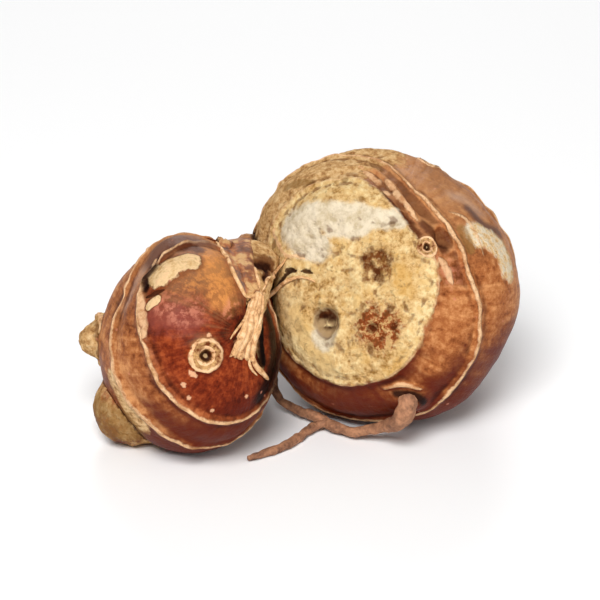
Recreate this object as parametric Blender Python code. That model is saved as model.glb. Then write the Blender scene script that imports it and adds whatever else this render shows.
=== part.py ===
"""An aromatic ginger (sand ginger) rhizome, lying as picked on a flat surface.

It is one grown piece. A stout main lobe ends in front in the corky scar of its old shoot, a
finger curls forward from the main lobe's left flank, and buds, nubs and rootlets stand on both.
Each lobe is a turned profile swept along its own curved spine. Leaf scars, root scars and lumps
are raised from the skin by a formula, and Boolean unions fuse everything into one solid.
Lengths are in millimetres and become metres when a mesh is made. +Z is up, +X is right and -Y is
the side that the shoot scar faces. The origin lies under the middle of the rhizome, on the surface.
"""

import math
from dataclasses import dataclass

import bmesh
import bpy
import numpy as np
from mathutils import Vector, noise

MM = 0.001
UP = np.array((0.0, 0.0, 1.0))

# Sizes that drive the rest
MAIN_WIDTH = 12.9
MAIN_HEIGHT = 13.1
SCAR_WIDTH = 8.3
SCAR_HEIGHT = 9.2
FINGER_WIDTH = 8.35
FINGER_HEIGHT = 10.3
ORIGIN_SHIFT = (0.0, -4.37, 0.0)

# How finely the lobes are lofted and fused before they are thinned, and what is left of them
LOFT_PITCH = 0.4
CURVE_STEPS = 40
EASED_STRETCH = 14.0
TYPICAL_RADIUS = 9.0
FUSED_PITCH = 0.25
BODY_TRIANGLES = 9200

# Relief of the skin
RING_HEIGHT = 0.42
RING_WIDTH = 0.42
RING_FADE = 9.0
PINCH_DEPTH = 0.4
PINCH_WIDTH = 2.0
LUMP_HEIGHT = 0.45
LUMP_SIZE = 9.0
LUMP_SEED = 11.3
WRINKLE_HEIGHT = 0.12
WRINKLE_SIZE = 2.6
WRINKLE_SEED = 47.9
GRAIN_HEIGHT = 2.2
GRAIN_SIZE = 1.1
GRAIN_SEED = 5.1
CORK_HEIGHT = 0.22
CORK_SIZE = 1.5
CORK_SEED = 23.7
CORK_EDGE = 8.6
CORK_FADE = 3.0

# Shapes of the marks, as shares of a mark's radius and height
KNOB_SPREAD = 0.8
EYE_RIM = (0.75, 0.25)
EYE_RIM_HEIGHT = 0.8
EYE_HOLLOW_SPREAD = 0.35
EYE_HOLLOW_DEPTH = 0.9
PIT_RIM = (1.2, 0.25)
PIT_RIM_HEIGHT = 0.2
SPOT_RISE = 0.3

# Rootlets, and the flat cut under the feet
ROOT_PITCH = 1.3
ROOT_SIDES_RESOLUTION = 2
WELD_DISTANCE = 0.01
CUT_TOLERANCE = 0.001

SKIN_COLOUR = (0.42, 0.17, 0.06, 1.0)
SKIN_ROUGHNESS = 0.35
SHARP_ANGLE = 50.0


@dataclass
class Ring:
    """A leaf scar round a lobe: pairs of an angle and the scar's distance from the tip over the skin."""

    course: tuple
    height: float = 1.0
    middle_angle: float = 0.0
    half_span: float = 360.0


@dataclass
class Mark:
    """A round mark on the skin, placed by its distance from the tip and its angle round the lobe."""

    kind: str
    distance: float
    angle: float
    radius: float
    height: float


@dataclass
class Lobe:
    """A swept profile. Its spine and profile run from the free tip to the end sunk in its parent.

    A row of the profile is a station on the spine with the half width and half height there.
    """

    name: str
    spine: tuple
    profile: tuple
    rings: tuple = ()
    marks: tuple = ()


MAIN = Lobe(
    name="main_lobe",
    spine=(
        (5.1, -2.95, 15.6),
        (7.8, 3.3, 12.65),
        (8.4, 11.5, 9.1),
        (7.0, 18.2, 6.7),
        (5.2, 23.2, 5.9),
    ),
    profile=(
        (-0.9, 0.0, 0.0),
        (-0.7, 3.4, 3.8),
        (-0.2, 6.9, 7.7),
        (0.6, SCAR_WIDTH, SCAR_HEIGHT),
        (1.5, SCAR_WIDTH + 0.9, SCAR_HEIGHT + 0.8),
        (3.0, 11.0, 11.4),
        (5.2, 12.3, 12.5),
        (7.8, MAIN_WIDTH, MAIN_HEIGHT),
        (11.5, 12.2, 12.3),
        (15.5, 10.5, 10.6),
        (19.5, 8.6, 8.9),
        (22.5, 7.3, 7.5),
        (25.0, 5.1, 5.2),
        (26.2, 2.6, 2.6),
        (26.5, 0.0, 0.0),
    ),
    rings=(
        Ring(
            (
                (9, 8.6),
                (42, 8.0),
                (65, 8.3),
                (98, 10.0),
                (121, 10.7),
                (160, 11.0),
                (200, 10.5),
                (245, 9.8),
                (280, 9.1),
                (314, 8.9),
                (345, 8.4),
            ),
            height=0.6,
        ),
        Ring(((56, 9.0), (72, 9.6), (89, 11.2), (102, 12.6)), height=0.8, middle_angle=82.0, half_span=32.0),
        Ring(
            (
                (4, 12.4),
                (16, 11.5),
                (29, 11.3),
                (42, 11.0),
                (58, 11.0),
                (75, 11.7),
                (95, 14.2),
                (120, 16.2),
                (150, 17.2),
                (190, 18.0),
                (235, 17.6),
                (270, 16.5),
                (300, 15.4),
                (314, 14.6),
                (326, 14.3),
                (339, 13.8),
                (351, 13.2),
            )
        ),
        Ring(((30, 20.5), (120, 21.6), (210, 22.5), (300, 21.2))),
        Ring(((60, 25.6), (150, 26.4), (240, 26.8), (330, 26.0))),
        Ring(((30, 30.2), (120, 30.4), (210, 31.2), (300, 31.0))),
        Ring(((20, 34.8), (200, 35.2))),
        Ring(((20, 38.6), (200, 38.0)), height=0.8),
    ),
    marks=(
        Mark("knob", 13.5, 150.0, 7.0, 1.2),
        Mark("pit", 4.3, 237.0, 1.5, 0.9),
        Mark("pit", 3.0, 49.0, 1.7, 0.5),
        Mark("spot", 4.6, 317.0, 2.2, 0.35),
        Mark("eye", 8.2, 35.0, 1.3, 0.5),
        Mark("pit", 10.2, 37.0, 1.1, 0.35),
        Mark("eye", 18.0, 75.0, 1.3, 0.5),
        Mark("eye", 24.0, 20.0, 1.4, 0.5),
        Mark("eye", 23.4, 130.0, 1.5, 0.5),
        Mark("eye", 28.5, 60.0, 1.2, 0.45),
        Mark("eye", 33.0, 100.0, 1.4, 0.5),
        Mark("knob", 17.0, 47.0, 7.0, -0.8),
        Mark("knob", 14.9, 72.0, 6.5, -0.85),
        Mark("knob", 13.1, 301.0, 1.9, 0.8),
    ),
)

FINGER = Lobe(
    name="finger",
    spine=(
        (-5.3, -9.6, 14.0),
        (-10.4, -3.5, 9.9),
        (-9.2, 2.8, 9.5),
        (-3.5, 6.5, 9.9),
        (3.5, 8.5, 10.6),
    ),
    profile=(
        (0.0, 0.0, 0.0),
        (0.35, 2.45, 2.9),
        (1.5, 5.0, 5.9),
        (3.5, 7.0, 8.3),
        (6.0, 8.0, 9.6),
        (9.0, FINGER_WIDTH, FINGER_HEIGHT),
        (12.5, 8.0, 9.0),
        (16.5, 7.1, 7.2),
        (20.0, 6.5, 6.6),
        (24.0, 6.2, 6.5),
        (27.0, 4.5, 5.0),
        (28.0, 0.0, 0.0),
    ),
    rings=(
        Ring(
            (
                (20, 8.2),
                (55, 9.5),
                (87, 10.3),
                (112, 10.6),
                (128, 10.9),
                (144, 10.6),
                (158, 10.4),
                (169, 9.9),
                (181, 9.7),
                (195, 9.6),
                (208, 9.2),
                (226, 8.7),
                (249, 8.2),
                (267, 8.0),
                (285, 7.8),
                (330, 7.6),
            )
        ),
        Ring(
            (
                (30, 13.5),
                (90, 15.0),
                (130, 14.8),
                (162, 14.0),
                (179, 13.5),
                (189, 13.3),
                (201, 13.1),
                (213, 12.6),
                (270, 11.8),
                (330, 12.2),
            )
        ),
        Ring(((120, 19.5), (210, 18.6), (300, 18.0), (30, 18.8))),
        Ring(((60, 23.2), (150, 23.8), (240, 22.6), (330, 22.2))),
        Ring(((60, 28.2), (150, 28.0), (240, 26.8), (330, 27.0)), height=0.8),
    ),
    marks=(
        Mark("eye", 4.4, 191.0, 1.6, 0.55),
        Mark("scale", 8.6, 107.0, 2.3, 0.3),
        Mark("eye", 17.0, 110.0, 1.3, 0.5),
        Mark("eye", 21.2, 150.0, 1.4, 0.5),
        Mark("knob", 14.6, 150.0, 4.5, -1.05),
        Mark("knob", 12.9, 120.0, 3.8, -0.8),
    ),
)

# A smaller bud on the back of the main lobe, which looks right and up
REAR_BUD = Lobe(
    name="rear_bud",
    spine=((16.5, 19.5, 9.5), (14.0, 16.0, 8.6), (10.0, 12.0, 9.0)),
    profile=(
        (0.0, 0.0, 0.0),
        (0.4, 1.6, 1.6),
        (1.6, 3.4, 3.4),
        (3.6, 4.8, 4.8),
        (6.0, 5.6, 5.6),
        (8.5, 5.9, 5.9),
        (10.0, 4.0, 4.0),
        (10.4, 0.0, 0.0),
    ),
    rings=(Ring(((0, 4.8), (180, 4.4))), Ring(((90, 8.2), (270, 7.6)))),
    marks=(Mark("knob", 0.0, 0.0, 1.2, 0.5),),
)

# The small nub on the far left of the finger, and the lump low on its left
LEFT_NUB = Lobe(
    name="left_nub",
    spine=((-20.7, -0.9, 9.0), (-17.6, -0.4, 9.0), (-14.0, 0.5, 9.0)),
    profile=(
        (0.0, 0.0, 0.0),
        (0.3, 0.9, 1.0),
        (1.2, 1.7, 1.9),
        (2.6, 2.5, 2.9),
        (4.5, 3.2, 3.5),
        (5.5, 0.0, 0.0),
    ),
    rings=(Ring(((0, 3.2), (180, 3.2))),),
)
LOW_LUMP = Lobe(
    name="low_lump",
    spine=((-19.0, -5.2, 2.8), (-15.8, -3.8, 3.4), (-11.5, -1.0, 5.0)),
    profile=(
        (0.0, 0.0, 0.0),
        (0.4, 1.6, 1.6),
        (1.5, 2.9, 2.9),
        (3.2, 3.7, 3.7),
        (5.5, 4.1, 4.1),
        (7.0, 0.0, 0.0),
    ),
    rings=(Ring(((0, 4.4), (180, 4.4))),),
)

# The dry base of a scale leaf, squeezed up between the finger and the main lobe, and its torn tail
SHEATH = Lobe(
    name="sheath",
    spine=(
        (-6.3, -10.7, 12.3),
        (-5.2, -9.0, 13.6),
        (-4.8, -6.8, 15.0),
        (-5.0, -3.6, 16.5),
        (-4.9, 0.0, 16.5),
        (-4.0, 3.8, 15.4),
    ),
    profile=(
        (0.0, 0.0, 0.0),
        (0.3, 0.5, 0.45),
        (2.0, 0.8, 0.65),
        (5.0, 1.5, 1.0),
        (8.0, 2.3, 1.3),
        (11.0, 2.8, 1.5),
        (14.0, 2.6, 2.0),
        (16.5, 0.0, 0.0),
    ),
)
SHEATH_TAIL = Lobe(
    name="sheath_tail",
    spine=((-3.3, -9.1, 9.8), (-3.8, -8.9, 12.2), (-4.3, -8.0, 14.0), (-4.8, -6.0, 15.2)),
    profile=(
        (0.0, 0.0, 0.0),
        (0.3, 0.4, 0.4),
        (2.0, 0.6, 0.55),
        (4.5, 0.9, 0.8),
        (6.5, 0.9, 0.8),
        (7.2, 0.0, 0.0),
    ),
)
LOBES = (MAIN, FINGER, REAR_BUD, LEFT_NUB, LOW_LUMP, SHEATH, SHEATH_TAIL)

# Each rootlet's name, its route and its radius at each point of the route
ROOTS = (
    (
        "front_root",
        (
            (9.4, -2.0, 6.5),
            (10.0, -6.4, 4.9),
            (9.2, -6.2, 3.2),
            (7.8, -4.6, 1.9),
            (5.1, -3.6, 0.85),
            (3.0, -2.3, 0.8),
            (1.8, -0.9, 0.9),
            (-2.0, 2.6, 1.2),
            (-3.2, 5.5, 4.5),
        ),
        (0.9, 0.95, 0.8, 0.65, 0.5, 0.5, 0.5, 0.45, 0.5),
    ),
    (
        "crossing_root",
        ((2.6, -1.8, 0.9), (1.2, -2.2, 0.6), (-0.6, -4.8, 0.5), (-2.2, -6.4, 0.45), (-4.8, -8.1, 0.4)),
        (0.4, 0.42, 0.4, 0.38, 0.3),
    ),
    (
        "left_root",
        ((-8.0, 4.5, 4.5), (-10.5, 9.0, 1.6), (-12.6, 11.6, 0.7), (-15.6, 12.4, 0.5)),
        (0.8, 0.65, 0.5, 0.35),
    ),
    (
        "right_root",
        ((11.5, 8.0, 3.5), (15.8, 11.0, 1.2), (18.2, 14.0, 0.65), (18.9, 17.8, 0.5)),
        (0.9, 0.7, 0.5, 0.35),
    ),
    (
        "rear_root",
        ((6.5, 15.0, 3.5), (3.2, 19.2, 1.3), (0.2, 20.6, 0.65), (-3.0, 19.8, 0.5)),
        (0.8, 0.65, 0.5, 0.35),
    ),
)


def smooth_path(points, pitch):
    """A Catmull-Rom curve through the points, read at about one point each pitch."""
    points = np.array(points, float)
    padded = np.vstack([2 * points[0] - points[1], points, 2 * points[-1] - points[-2]])
    t = np.linspace(0.0, 1.0, CURVE_STEPS, endpoint=False)[:, None]
    stretches = []
    for a, b, c, d in zip(padded, padded[1:], padded[2:], padded[3:]):
        bend = (2 * a - 5 * b + 4 * c - d) * t**2
        turn = (3 * b - a - 3 * c + d) * t**3
        stretches.append(0.5 * (2 * b + (c - a) * t + bend + turn))
    fine = np.vstack([*stretches, points[-1:]])
    along = path_lengths(fine)
    count = max(3, round(along[-1] / pitch))
    stations = np.linspace(0.0, along[-1], count + 1)
    return read_along(stations, along, fine)


def read_along(stations, along, values):
    """Each column of the values, read at the stations."""
    return np.column_stack([np.interp(stations, along, column) for column in values.T])


def path_lengths(path):
    """Each point's distance along the path."""
    steps = np.linalg.norm(np.diff(path, axis=0), axis=1)
    return np.concatenate([[0.0], np.cumsum(steps)])


def unit(vectors):
    """The vectors at length 1."""
    return vectors / np.maximum(np.linalg.norm(vectors, axis=-1, keepdims=True), 1e-9)


def spine_frames(spine, stations):
    """Centre, sideways and upward directions at each station. The spine runs straight on past its ends."""
    path = smooth_path(spine, LOFT_PITCH)
    along = path_lengths(path)
    inside = np.clip(stations, 0.0, along[-1])
    centres = read_along(inside, along, path)
    forward = eased_directions(path, along, inside)
    centres += forward * (stations - inside)[:, None]
    sideways = unit(np.cross(forward, UP))
    return centres, sideways, np.cross(sideways, forward)


def eased_directions(path, along, stations):
    """The path's direction at each station, averaged over a stretch so that cross-sections turn gently."""
    tangents = unit(np.gradient(path, along, axis=0))
    half = round(EASED_STRETCH / LOFT_PITCH / 2)
    padded = np.pad(tangents, ((half, half), (0, 0)), mode="edge")
    window = np.hanning(2 * half + 3)[1:-1]
    window /= window.sum()
    eased = np.column_stack([np.convolve(column, window, mode="valid") for column in padded.T])
    return unit(read_along(stations, along, eased))


def sweep(lobe):
    """The lobe's smooth surface as rows of points from pole to pole, with their skin distances and angles."""
    profile = smooth_path(lobe.profile, LOFT_PITCH)
    profile[:, 1:] = np.maximum(profile[:, 1:], 0.0)
    distances = path_lengths(np.column_stack([profile[:, 0], profile[:, 1:].mean(axis=1)]))
    centres, sideways, upward = spine_frames(lobe.spine, profile[:, 0])
    sides = round(math.tau * profile[:, 1].max() / LOFT_PITCH)
    angles = np.linspace(0.0, math.tau, sides, endpoint=False)
    across = profile[:, 1, None, None] * np.cos(angles)[None, :, None]
    upright = profile[:, 2, None, None] * np.sin(angles)[None, :, None]
    points = centres[:, None] + across * sideways[:, None] + upright * upward[:, None]
    distance_grid = np.repeat(distances[:, None], sides, axis=1)
    angle_grid = np.repeat(angles[None], len(distances), axis=0)
    return points, distance_grid, angle_grid


def normals_of(points):
    """Outward directions of a swept surface."""
    along = np.gradient(points, axis=0)
    around = np.roll(points, -1, axis=1) - np.roll(points, 1, axis=1)
    normals = unit(np.cross(along, around))
    normals[0] = unit(normals[1].mean(axis=0))
    normals[-1] = unit(normals[-2].mean(axis=0))
    return normals


def angle_between(a, b):
    """The unsigned angle from a to b, in radians."""
    return np.abs((a - b + math.pi) % math.tau - math.pi)


def course_at(course, angles):
    """The distance at each angle of a closed course of angles and distances, smooth between them."""
    points = np.array(sorted(course), float)
    wrapped = np.vstack([points[-1:] - (360.0, 0.0), points, points[:1] + (360.0, 0.0)])
    padded = np.vstack([wrapped[:1] - (60.0, 0.0), wrapped, wrapped[-1:] + (60.0, 0.0)])
    if len(points) > 1:
        padded[0] = points[-2] - (360.0, 0.0)
        padded[-1] = points[1] + (360.0, 0.0)
    slopes = (padded[2:, 1] - padded[:-2, 1]) / (padded[2:, 0] - padded[:-2, 0])
    degrees = np.degrees(angles) % 360.0
    left = np.clip(np.searchsorted(wrapped[:, 0], degrees, side="right") - 1, 0, len(wrapped) - 2)
    span = wrapped[left + 1, 0] - wrapped[left, 0]
    t = (degrees - wrapped[left, 0]) / span
    rise = wrapped[left + 1, 1] - wrapped[left, 1]
    start = slopes[left] * span
    stop = slopes[left + 1] * span
    second = 3 * rise - 2 * start - stop
    third = start + stop - 2 * rise
    return wrapped[left, 1] + t * start + t**2 * second + t**3 * third


def bell(values, middle, spread):
    """1 at the middle, falling off smoothly to both sides."""
    return np.exp(-(((values - middle) / spread) ** 2))


def fading(values, sharpness):
    """1 well below 0, falling through a half at 0 to nothing above."""
    return 1.0 / (1.0 + np.exp(values * sharpness))


def ring_relief(ring, distances, angles):
    """A thin raised scar in a shallow pinch of the skin."""
    off = distances - course_at(ring.course, angles)
    scar = RING_HEIGHT * bell(off, 0.0, RING_WIDTH)
    pinch = PINCH_DEPTH * bell(off, 0.0, PINCH_WIDTH)
    away = angle_between(angles, math.radians(ring.middle_angle)) - math.radians(ring.half_span)
    return ring.height * fading(away, RING_FADE) * (scar - pinch)


def mark_relief(mark, points, distances, angles):
    """The relief of a round mark, by each point's distance from the mark's middle."""
    off = (distances - mark.distance) ** 2
    off = off + (angle_between(angles, math.radians(mark.angle)) * TYPICAL_RADIUS) ** 2
    row, column = np.unravel_index(np.argmin(off), off.shape)
    away = np.linalg.norm(points - points[row, column], axis=-1) / mark.radius
    if mark.kind == "pit":
        return mark.height * (PIT_RIM_HEIGHT * bell(away, *PIT_RIM) - np.exp(-(away**4)))
    if mark.kind == "eye":
        hollow = EYE_HOLLOW_DEPTH * bell(away, 0.0, EYE_HOLLOW_SPREAD)
        return mark.height * (EYE_RIM_HEIGHT * bell(away, *EYE_RIM) - hollow)
    if mark.kind == "spot":
        grain = GRAIN_HEIGHT * noise_at(points, GRAIN_SIZE, GRAIN_SEED)
        return mark.height * np.exp(-(away**4)) * (SPOT_RISE + grain)
    if mark.kind == "scale":
        return mark.height * np.exp(-(away**6))
    return mark.height * bell(away, 0.0, KNOB_SPREAD)


def noise_at(points, size, seed):
    """Perlin noise at each point, with features of that size."""
    shifted = points.reshape(-1, 3) / size + seed
    return np.array([noise.noise(Vector(p)) for p in shifted]).reshape(points.shape[:-1])


def carved(lobe):
    """The lobe's surface with its rings, marks, lumps and wrinkles."""
    points, distances, angles = sweep(lobe)
    normals = normals_of(points)
    relief = LUMP_HEIGHT * noise_at(points, LUMP_SIZE, LUMP_SEED)
    relief += WRINKLE_HEIGHT * noise_at(points, WRINKLE_SIZE, WRINKLE_SEED)
    if lobe is MAIN:
        cork = fading(distances - CORK_EDGE, CORK_FADE)
        relief += cork * CORK_HEIGHT * noise_at(points, CORK_SIZE, CORK_SEED)
    for ring in lobe.rings:
        relief += ring_relief(ring, distances, angles)
    for mark in lobe.marks:
        relief += mark_relief(mark, points, distances, angles)
    return points + normals * relief[..., None]


def mesh_object(name, vertices, faces):
    """A mesh object from points in millimetres."""
    mesh = bpy.data.meshes.new(name)
    mesh.from_pydata([tuple(v) for v in np.asarray(vertices) * MM], [], faces)
    mesh.validate()
    made = bpy.data.objects.new(name, mesh)
    bpy.context.scene.collection.objects.link(made)
    return made


def loft(lobe):
    """The carved lobe as a closed mesh object."""
    grid = carved(lobe)
    rows, sides = grid.shape[:2]
    vertices = np.vstack([grid[0].mean(axis=0), grid[1:-1].reshape(-1, 3), grid[-1].mean(axis=0)])
    last = len(vertices) - 1

    def corner(row, side):
        return 1 + row * sides + side % sides

    faces = []
    for side in range(sides):
        faces.append((0, corner(0, side), corner(0, side + 1)))
        faces.append((last, corner(rows - 3, side + 1), corner(rows - 3, side)))
        for row in range(rows - 3):
            faces.append(
                (corner(row, side), corner(row + 1, side), corner(row + 1, side + 1), corner(row, side + 1))
            )
    return mesh_object(lobe.name, vertices, faces)


def rootlet(name, path, radii):
    """A tapering root as a closed tube mesh, from a curve object with a bevel."""
    points = smooth_path([(*p, r) for p, r in zip(path, radii)], ROOT_PITCH)
    curve = bpy.data.curves.new(name, "CURVE")
    curve.dimensions = "3D"
    curve.bevel_depth = MM
    curve.bevel_resolution = ROOT_SIDES_RESOLUTION
    curve.use_fill_caps = True
    spline = curve.splines.new("POLY")
    spline.points.add(len(points) - 1)
    for spot, (x, y, z, radius) in zip(spline.points, points):
        spot.co = (x * MM, y * MM, z * MM, 1.0)
        spot.radius = radius
    guide = bpy.data.objects.new(name + "_guide", curve)
    bpy.context.scene.collection.objects.link(guide)
    bpy.context.view_layer.update()
    graph = bpy.context.evaluated_depsgraph_get()
    mesh = bpy.data.meshes.new_from_object(guide.evaluated_get(graph))
    bpy.data.objects.remove(guide)
    weld(mesh)
    tube = bpy.data.objects.new(name, mesh)
    bpy.context.scene.collection.objects.link(tube)
    return tube


def weld(mesh):
    """Joins the caps of a bevelled curve to its sides."""
    shape = bmesh.new()
    shape.from_mesh(mesh)
    bmesh.ops.remove_doubles(shape, verts=shape.verts, dist=WELD_DISTANCE * MM)
    bmesh.ops.recalc_face_normals(shape, faces=shape.faces)
    shape.to_mesh(mesh)
    shape.free()


def applied(body, modifier):
    """The body with that modifier applied."""
    bpy.context.view_layer.update()
    graph = bpy.context.evaluated_depsgraph_get()
    shape = bpy.data.meshes.new_from_object(body.evaluated_get(graph))
    body.modifiers.remove(modifier)
    body.data = shape
    return body


def fuse(body, others, solver):
    """The body with the others joined to it, which are then removed."""
    group = bpy.data.collections.new("joined_to_" + body.name)
    for other in others:
        group.objects.link(other)
    union = body.modifiers.new("Union", "BOOLEAN")
    union.operation = "UNION"
    union.operand_type = "COLLECTION"
    union.collection = group
    union.solver = solver
    applied(body, union)
    for other in others:
        bpy.data.objects.remove(other)
    bpy.data.collections.remove(group)
    return body


def evened(body):
    """The body's surface laid anew in small even faces, so that its joints hold no slivers."""
    laid = body.modifiers.new("Even", "REMESH")
    laid.mode = "VOXEL"
    laid.voxel_size = FUSED_PITCH * MM
    return applied(body, laid)


def thin_out(body):
    """The body with far fewer triangles, most of them where the skin has relief."""
    body.data.calc_loop_triangles()
    thinned = body.modifiers.new("Thin out", "DECIMATE")
    thinned.ratio = BODY_TRIANGLES / len(body.data.loop_triangles)
    return applied(body, thinned)


def stand(body):
    """The body with its underside cut flat where it presses on the surface, and its origin set."""
    shape = bmesh.new()
    shape.from_mesh(body.data)
    bmesh.ops.triangulate(shape, faces=shape.faces)
    cut = bmesh.ops.bisect_plane(
        shape,
        geom=[*shape.verts, *shape.edges, *shape.faces],
        dist=CUT_TOLERANCE * MM,
        plane_co=(0.0, 0.0, 0.0),
        plane_no=(0.0, 0.0, -1.0),
        clear_outer=True,
    )
    edges = [e for e in cut["geom_cut"] if isinstance(e, bmesh.types.BMEdge)]
    bmesh.ops.edgeloop_fill(shape, edges=edges)
    bmesh.ops.recalc_face_normals(shape, faces=shape.faces)
    bmesh.ops.triangulate(shape, faces=shape.faces)
    bmesh.ops.translate(shape, vec=Vector(ORIGIN_SHIFT) * MM, verts=shape.verts)
    shape.to_mesh(body.data)
    shape.free()
    return body


def skin_material():
    """Glossy red-brown skin."""
    material = bpy.data.materials.new("skin")
    material.use_nodes = True
    surface = material.node_tree.nodes["Principled BSDF"]
    surface.inputs["Base Color"].default_value = SKIN_COLOUR
    surface.inputs["Roughness"].default_value = SKIN_ROUGHNESS
    surface.inputs["Metallic"].default_value = 0.0
    return material


def main():
    for old in list(bpy.data.objects):
        bpy.data.objects.remove(old)
    body, *others = [loft(lobe) for lobe in LOBES]
    body.name = "rhizome"
    # The lobes meet at so many grazing faces that the exact solver leaves their joints open
    fuse(body, others, "MANIFOLD")
    thin_out(evened(body))
    fuse(body, [rootlet(*root) for root in ROOTS], "EXACT")
    stand(body)
    body.data.materials.clear()
    body.data.materials.append(skin_material())
    body.data.shade_smooth()
    body.data.set_sharp_from_angle(angle=math.radians(SHARP_ANGLE))


main()
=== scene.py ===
"""The looks of an aromatic ginger rhizome that lies on a pale surface.

The body is lofted from the same lobes as its solid, more finely, and its points carry fields, such as
how far each is from a leaf scar, from the shoot scar's edge or from a stain. The skin's material turns
the fields into waxy skin, cork, pale scars and grime. Dry roots and husk fibres are pieces of their own.
Lengths are in millimetres and become metres when a mesh is made.
"""

import math
from dataclasses import dataclass

import bmesh
import bpy
import numpy as np
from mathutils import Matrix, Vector, noise
from mathutils.bvhtree import BVHTree

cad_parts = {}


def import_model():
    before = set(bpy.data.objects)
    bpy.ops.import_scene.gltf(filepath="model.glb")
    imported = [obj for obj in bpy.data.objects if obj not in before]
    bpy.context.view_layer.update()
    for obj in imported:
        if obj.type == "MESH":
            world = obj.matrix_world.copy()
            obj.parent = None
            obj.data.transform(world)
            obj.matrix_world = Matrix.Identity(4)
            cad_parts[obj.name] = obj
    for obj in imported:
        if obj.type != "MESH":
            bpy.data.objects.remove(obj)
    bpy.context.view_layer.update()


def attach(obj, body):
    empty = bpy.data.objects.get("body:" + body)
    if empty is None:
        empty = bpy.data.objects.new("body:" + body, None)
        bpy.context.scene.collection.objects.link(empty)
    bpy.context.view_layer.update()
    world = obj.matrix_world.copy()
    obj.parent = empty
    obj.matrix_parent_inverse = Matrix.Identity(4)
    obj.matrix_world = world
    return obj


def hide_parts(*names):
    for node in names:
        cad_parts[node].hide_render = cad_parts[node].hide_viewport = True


MM = 0.001
UP = np.array((0.0, 0.0, 1.0))

# Sizes that drive the rest, as in the solid
MAIN_WIDTH = 12.9
MAIN_HEIGHT = 13.1
SCAR_WIDTH = 8.3
SCAR_HEIGHT = 9.2
FINGER_WIDTH = 8.35
FINGER_HEIGHT = 10.3
ORIGIN_SHIFT = np.array((0.0, -4.37, 0.0))

# How finely the lobes are lofted
SKIN_PITCH = 0.25
HOLLOW_STEPS = 14
CURVE_STEPS = 40
EASED_STRETCH = 14.0
EASED_PITCH = 0.4
TYPICAL_RADIUS = 9.0
FAR = 9.0

# Relief of the skin, as in the solid
RING_HEIGHT = 0.42
RING_WIDTH = 0.36
RING_FADE = 9.0
PINCH_DEPTH = 0.4
PINCH_WIDTH = 2.0
LUMP_HEIGHT = 0.45
LUMP_SIZE = 9.0
LUMP_SEED = 11.3
WRINKLE_HEIGHT = 0.12
WRINKLE_SIZE = 2.6
WRINKLE_SEED = 47.9
GRAIN_HEIGHT = 2.2
GRAIN_SIZE = 1.1
GRAIN_SEED = 5.1
CORK_HEIGHT = 0.22
CORK_SIZE = 1.5
CORK_SEED = 23.7
CORK_EDGE = 8.6
CORK_FADE = 3.0
KNOB_SPREAD = 0.8
EYE_RIM = (0.8, 0.2)
EYE_RIM_HEIGHT = 0.8
EYE_INNER_RIM = (0.48, 0.1)
EYE_INNER_RIM_HEIGHT = 0.5
EYE_HOLLOW_SPREAD = 0.3
EYE_HOLLOW_DEPTH = 0.9
PIT_RIM = (1.2, 0.25)
PIT_RIM_HEIGHT = 0.2
SPOT_RISE = 0.3

# Finer relief that only the looks have
CRUMB_HEIGHT = 0.12
CRUMB_SIZE = 0.7
FAINT_RING = 0.3
CRACK_DEPTH = 0.06
CRACK_SIZE = 2.2
CRACK_SHARE = 0.07
PLEAT_HEIGHT = 0.05
PLEAT_SIZE = 0.55
PLEAT_LENGTH = 7.0
PLEAT_START = 7.0
FRAY_SIZE = 1.3
RING_FRAY = 0.6
YOUNG_FADE = 2.5
CRUMBLY_FADE = 4.0

CAMERA_TARGET = (0.0, -4.37, 12.8)
CAMERA_DISTANCE = 300.0
CAMERA_ELEVATION = 25.0
VIEW_WIDTH = 56.0
SENSOR_WIDTH = 36.0
FLOOR_HALF = 2000.0

# Name, place, size and power of each light, and where it aims if not at the rhizome
LIGHTS = (
    ("key", (-50.0, -288.0, 328.0), 190.0, 1.96),
    ("fill", (300.0, -200.0, 200.0), 300.0, 0.25),
    ("back", (0.0, 520.0, 300.0), 260.0, 1.6, (0.0, 330.0, 0.0)),
)
SURROUNDINGS_STRENGTH = 0.22


@dataclass
class Ring:
    """A leaf scar round a lobe: pairs of an angle and the scar's distance from the tip over the skin."""

    course: tuple
    height: float = 1.0
    middle_angle: float = 0.0
    half_span: float = 360.0


@dataclass
class Mark:
    """A mark on the skin, placed by its distance from the tip and its angle round the lobe.

    Its radius is measured along the lobe, and stretch times that round it. A mark with no height only
    colours the skin: a stain, tan, a scuff, a painted sheen or painted shade.
    """

    kind: str
    distance: float
    angle: float
    radius: float
    height: float = 0.0
    stretch: float = 1.0


@dataclass
class Trace:
    """A line, patch or stain that only the looks have, some of them painted shade, highlights or sheen: a
    route close to the skin, and a radius about it.
    """

    kind: str
    route: tuple
    radius: float
    height: float = 0.0


@dataclass
class Lobe:
    """A swept profile. Its spine and profile run from the free tip to the end sunk in its parent.

    Tan is how far its skin has turned to cork, and clean a distance that keeps the painted shade and grime
    where lobes meet off its edges.
    """

    name: str
    spine: tuple
    profile: tuple
    rings: tuple = ()
    marks: tuple = ()
    tan: float = 0.0
    clean: float = 0.0
    cork_edge: tuple = ()


@dataclass
class Web:
    """A sheet of husk between two margins: its pleats, how high they stand, and how dusky it is, which is
    partly painted shade and grows toward its right margin.
    """

    name: str
    left: tuple
    right: tuple
    pleats: int
    pleat_lift: float
    dusk_shade: float


SHOOT_SCAR_EDGE = (
    (9, 8.7), (24, 8.6), (47, 7.5), (60, 7.6), (79, 8.3), (98, 10.0), (121, 10.7), (160, 11.0), (200, 10.5),
    (245, 9.8), (280, 9.1), (314, 8.9), (345, 8.4),
)

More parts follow.
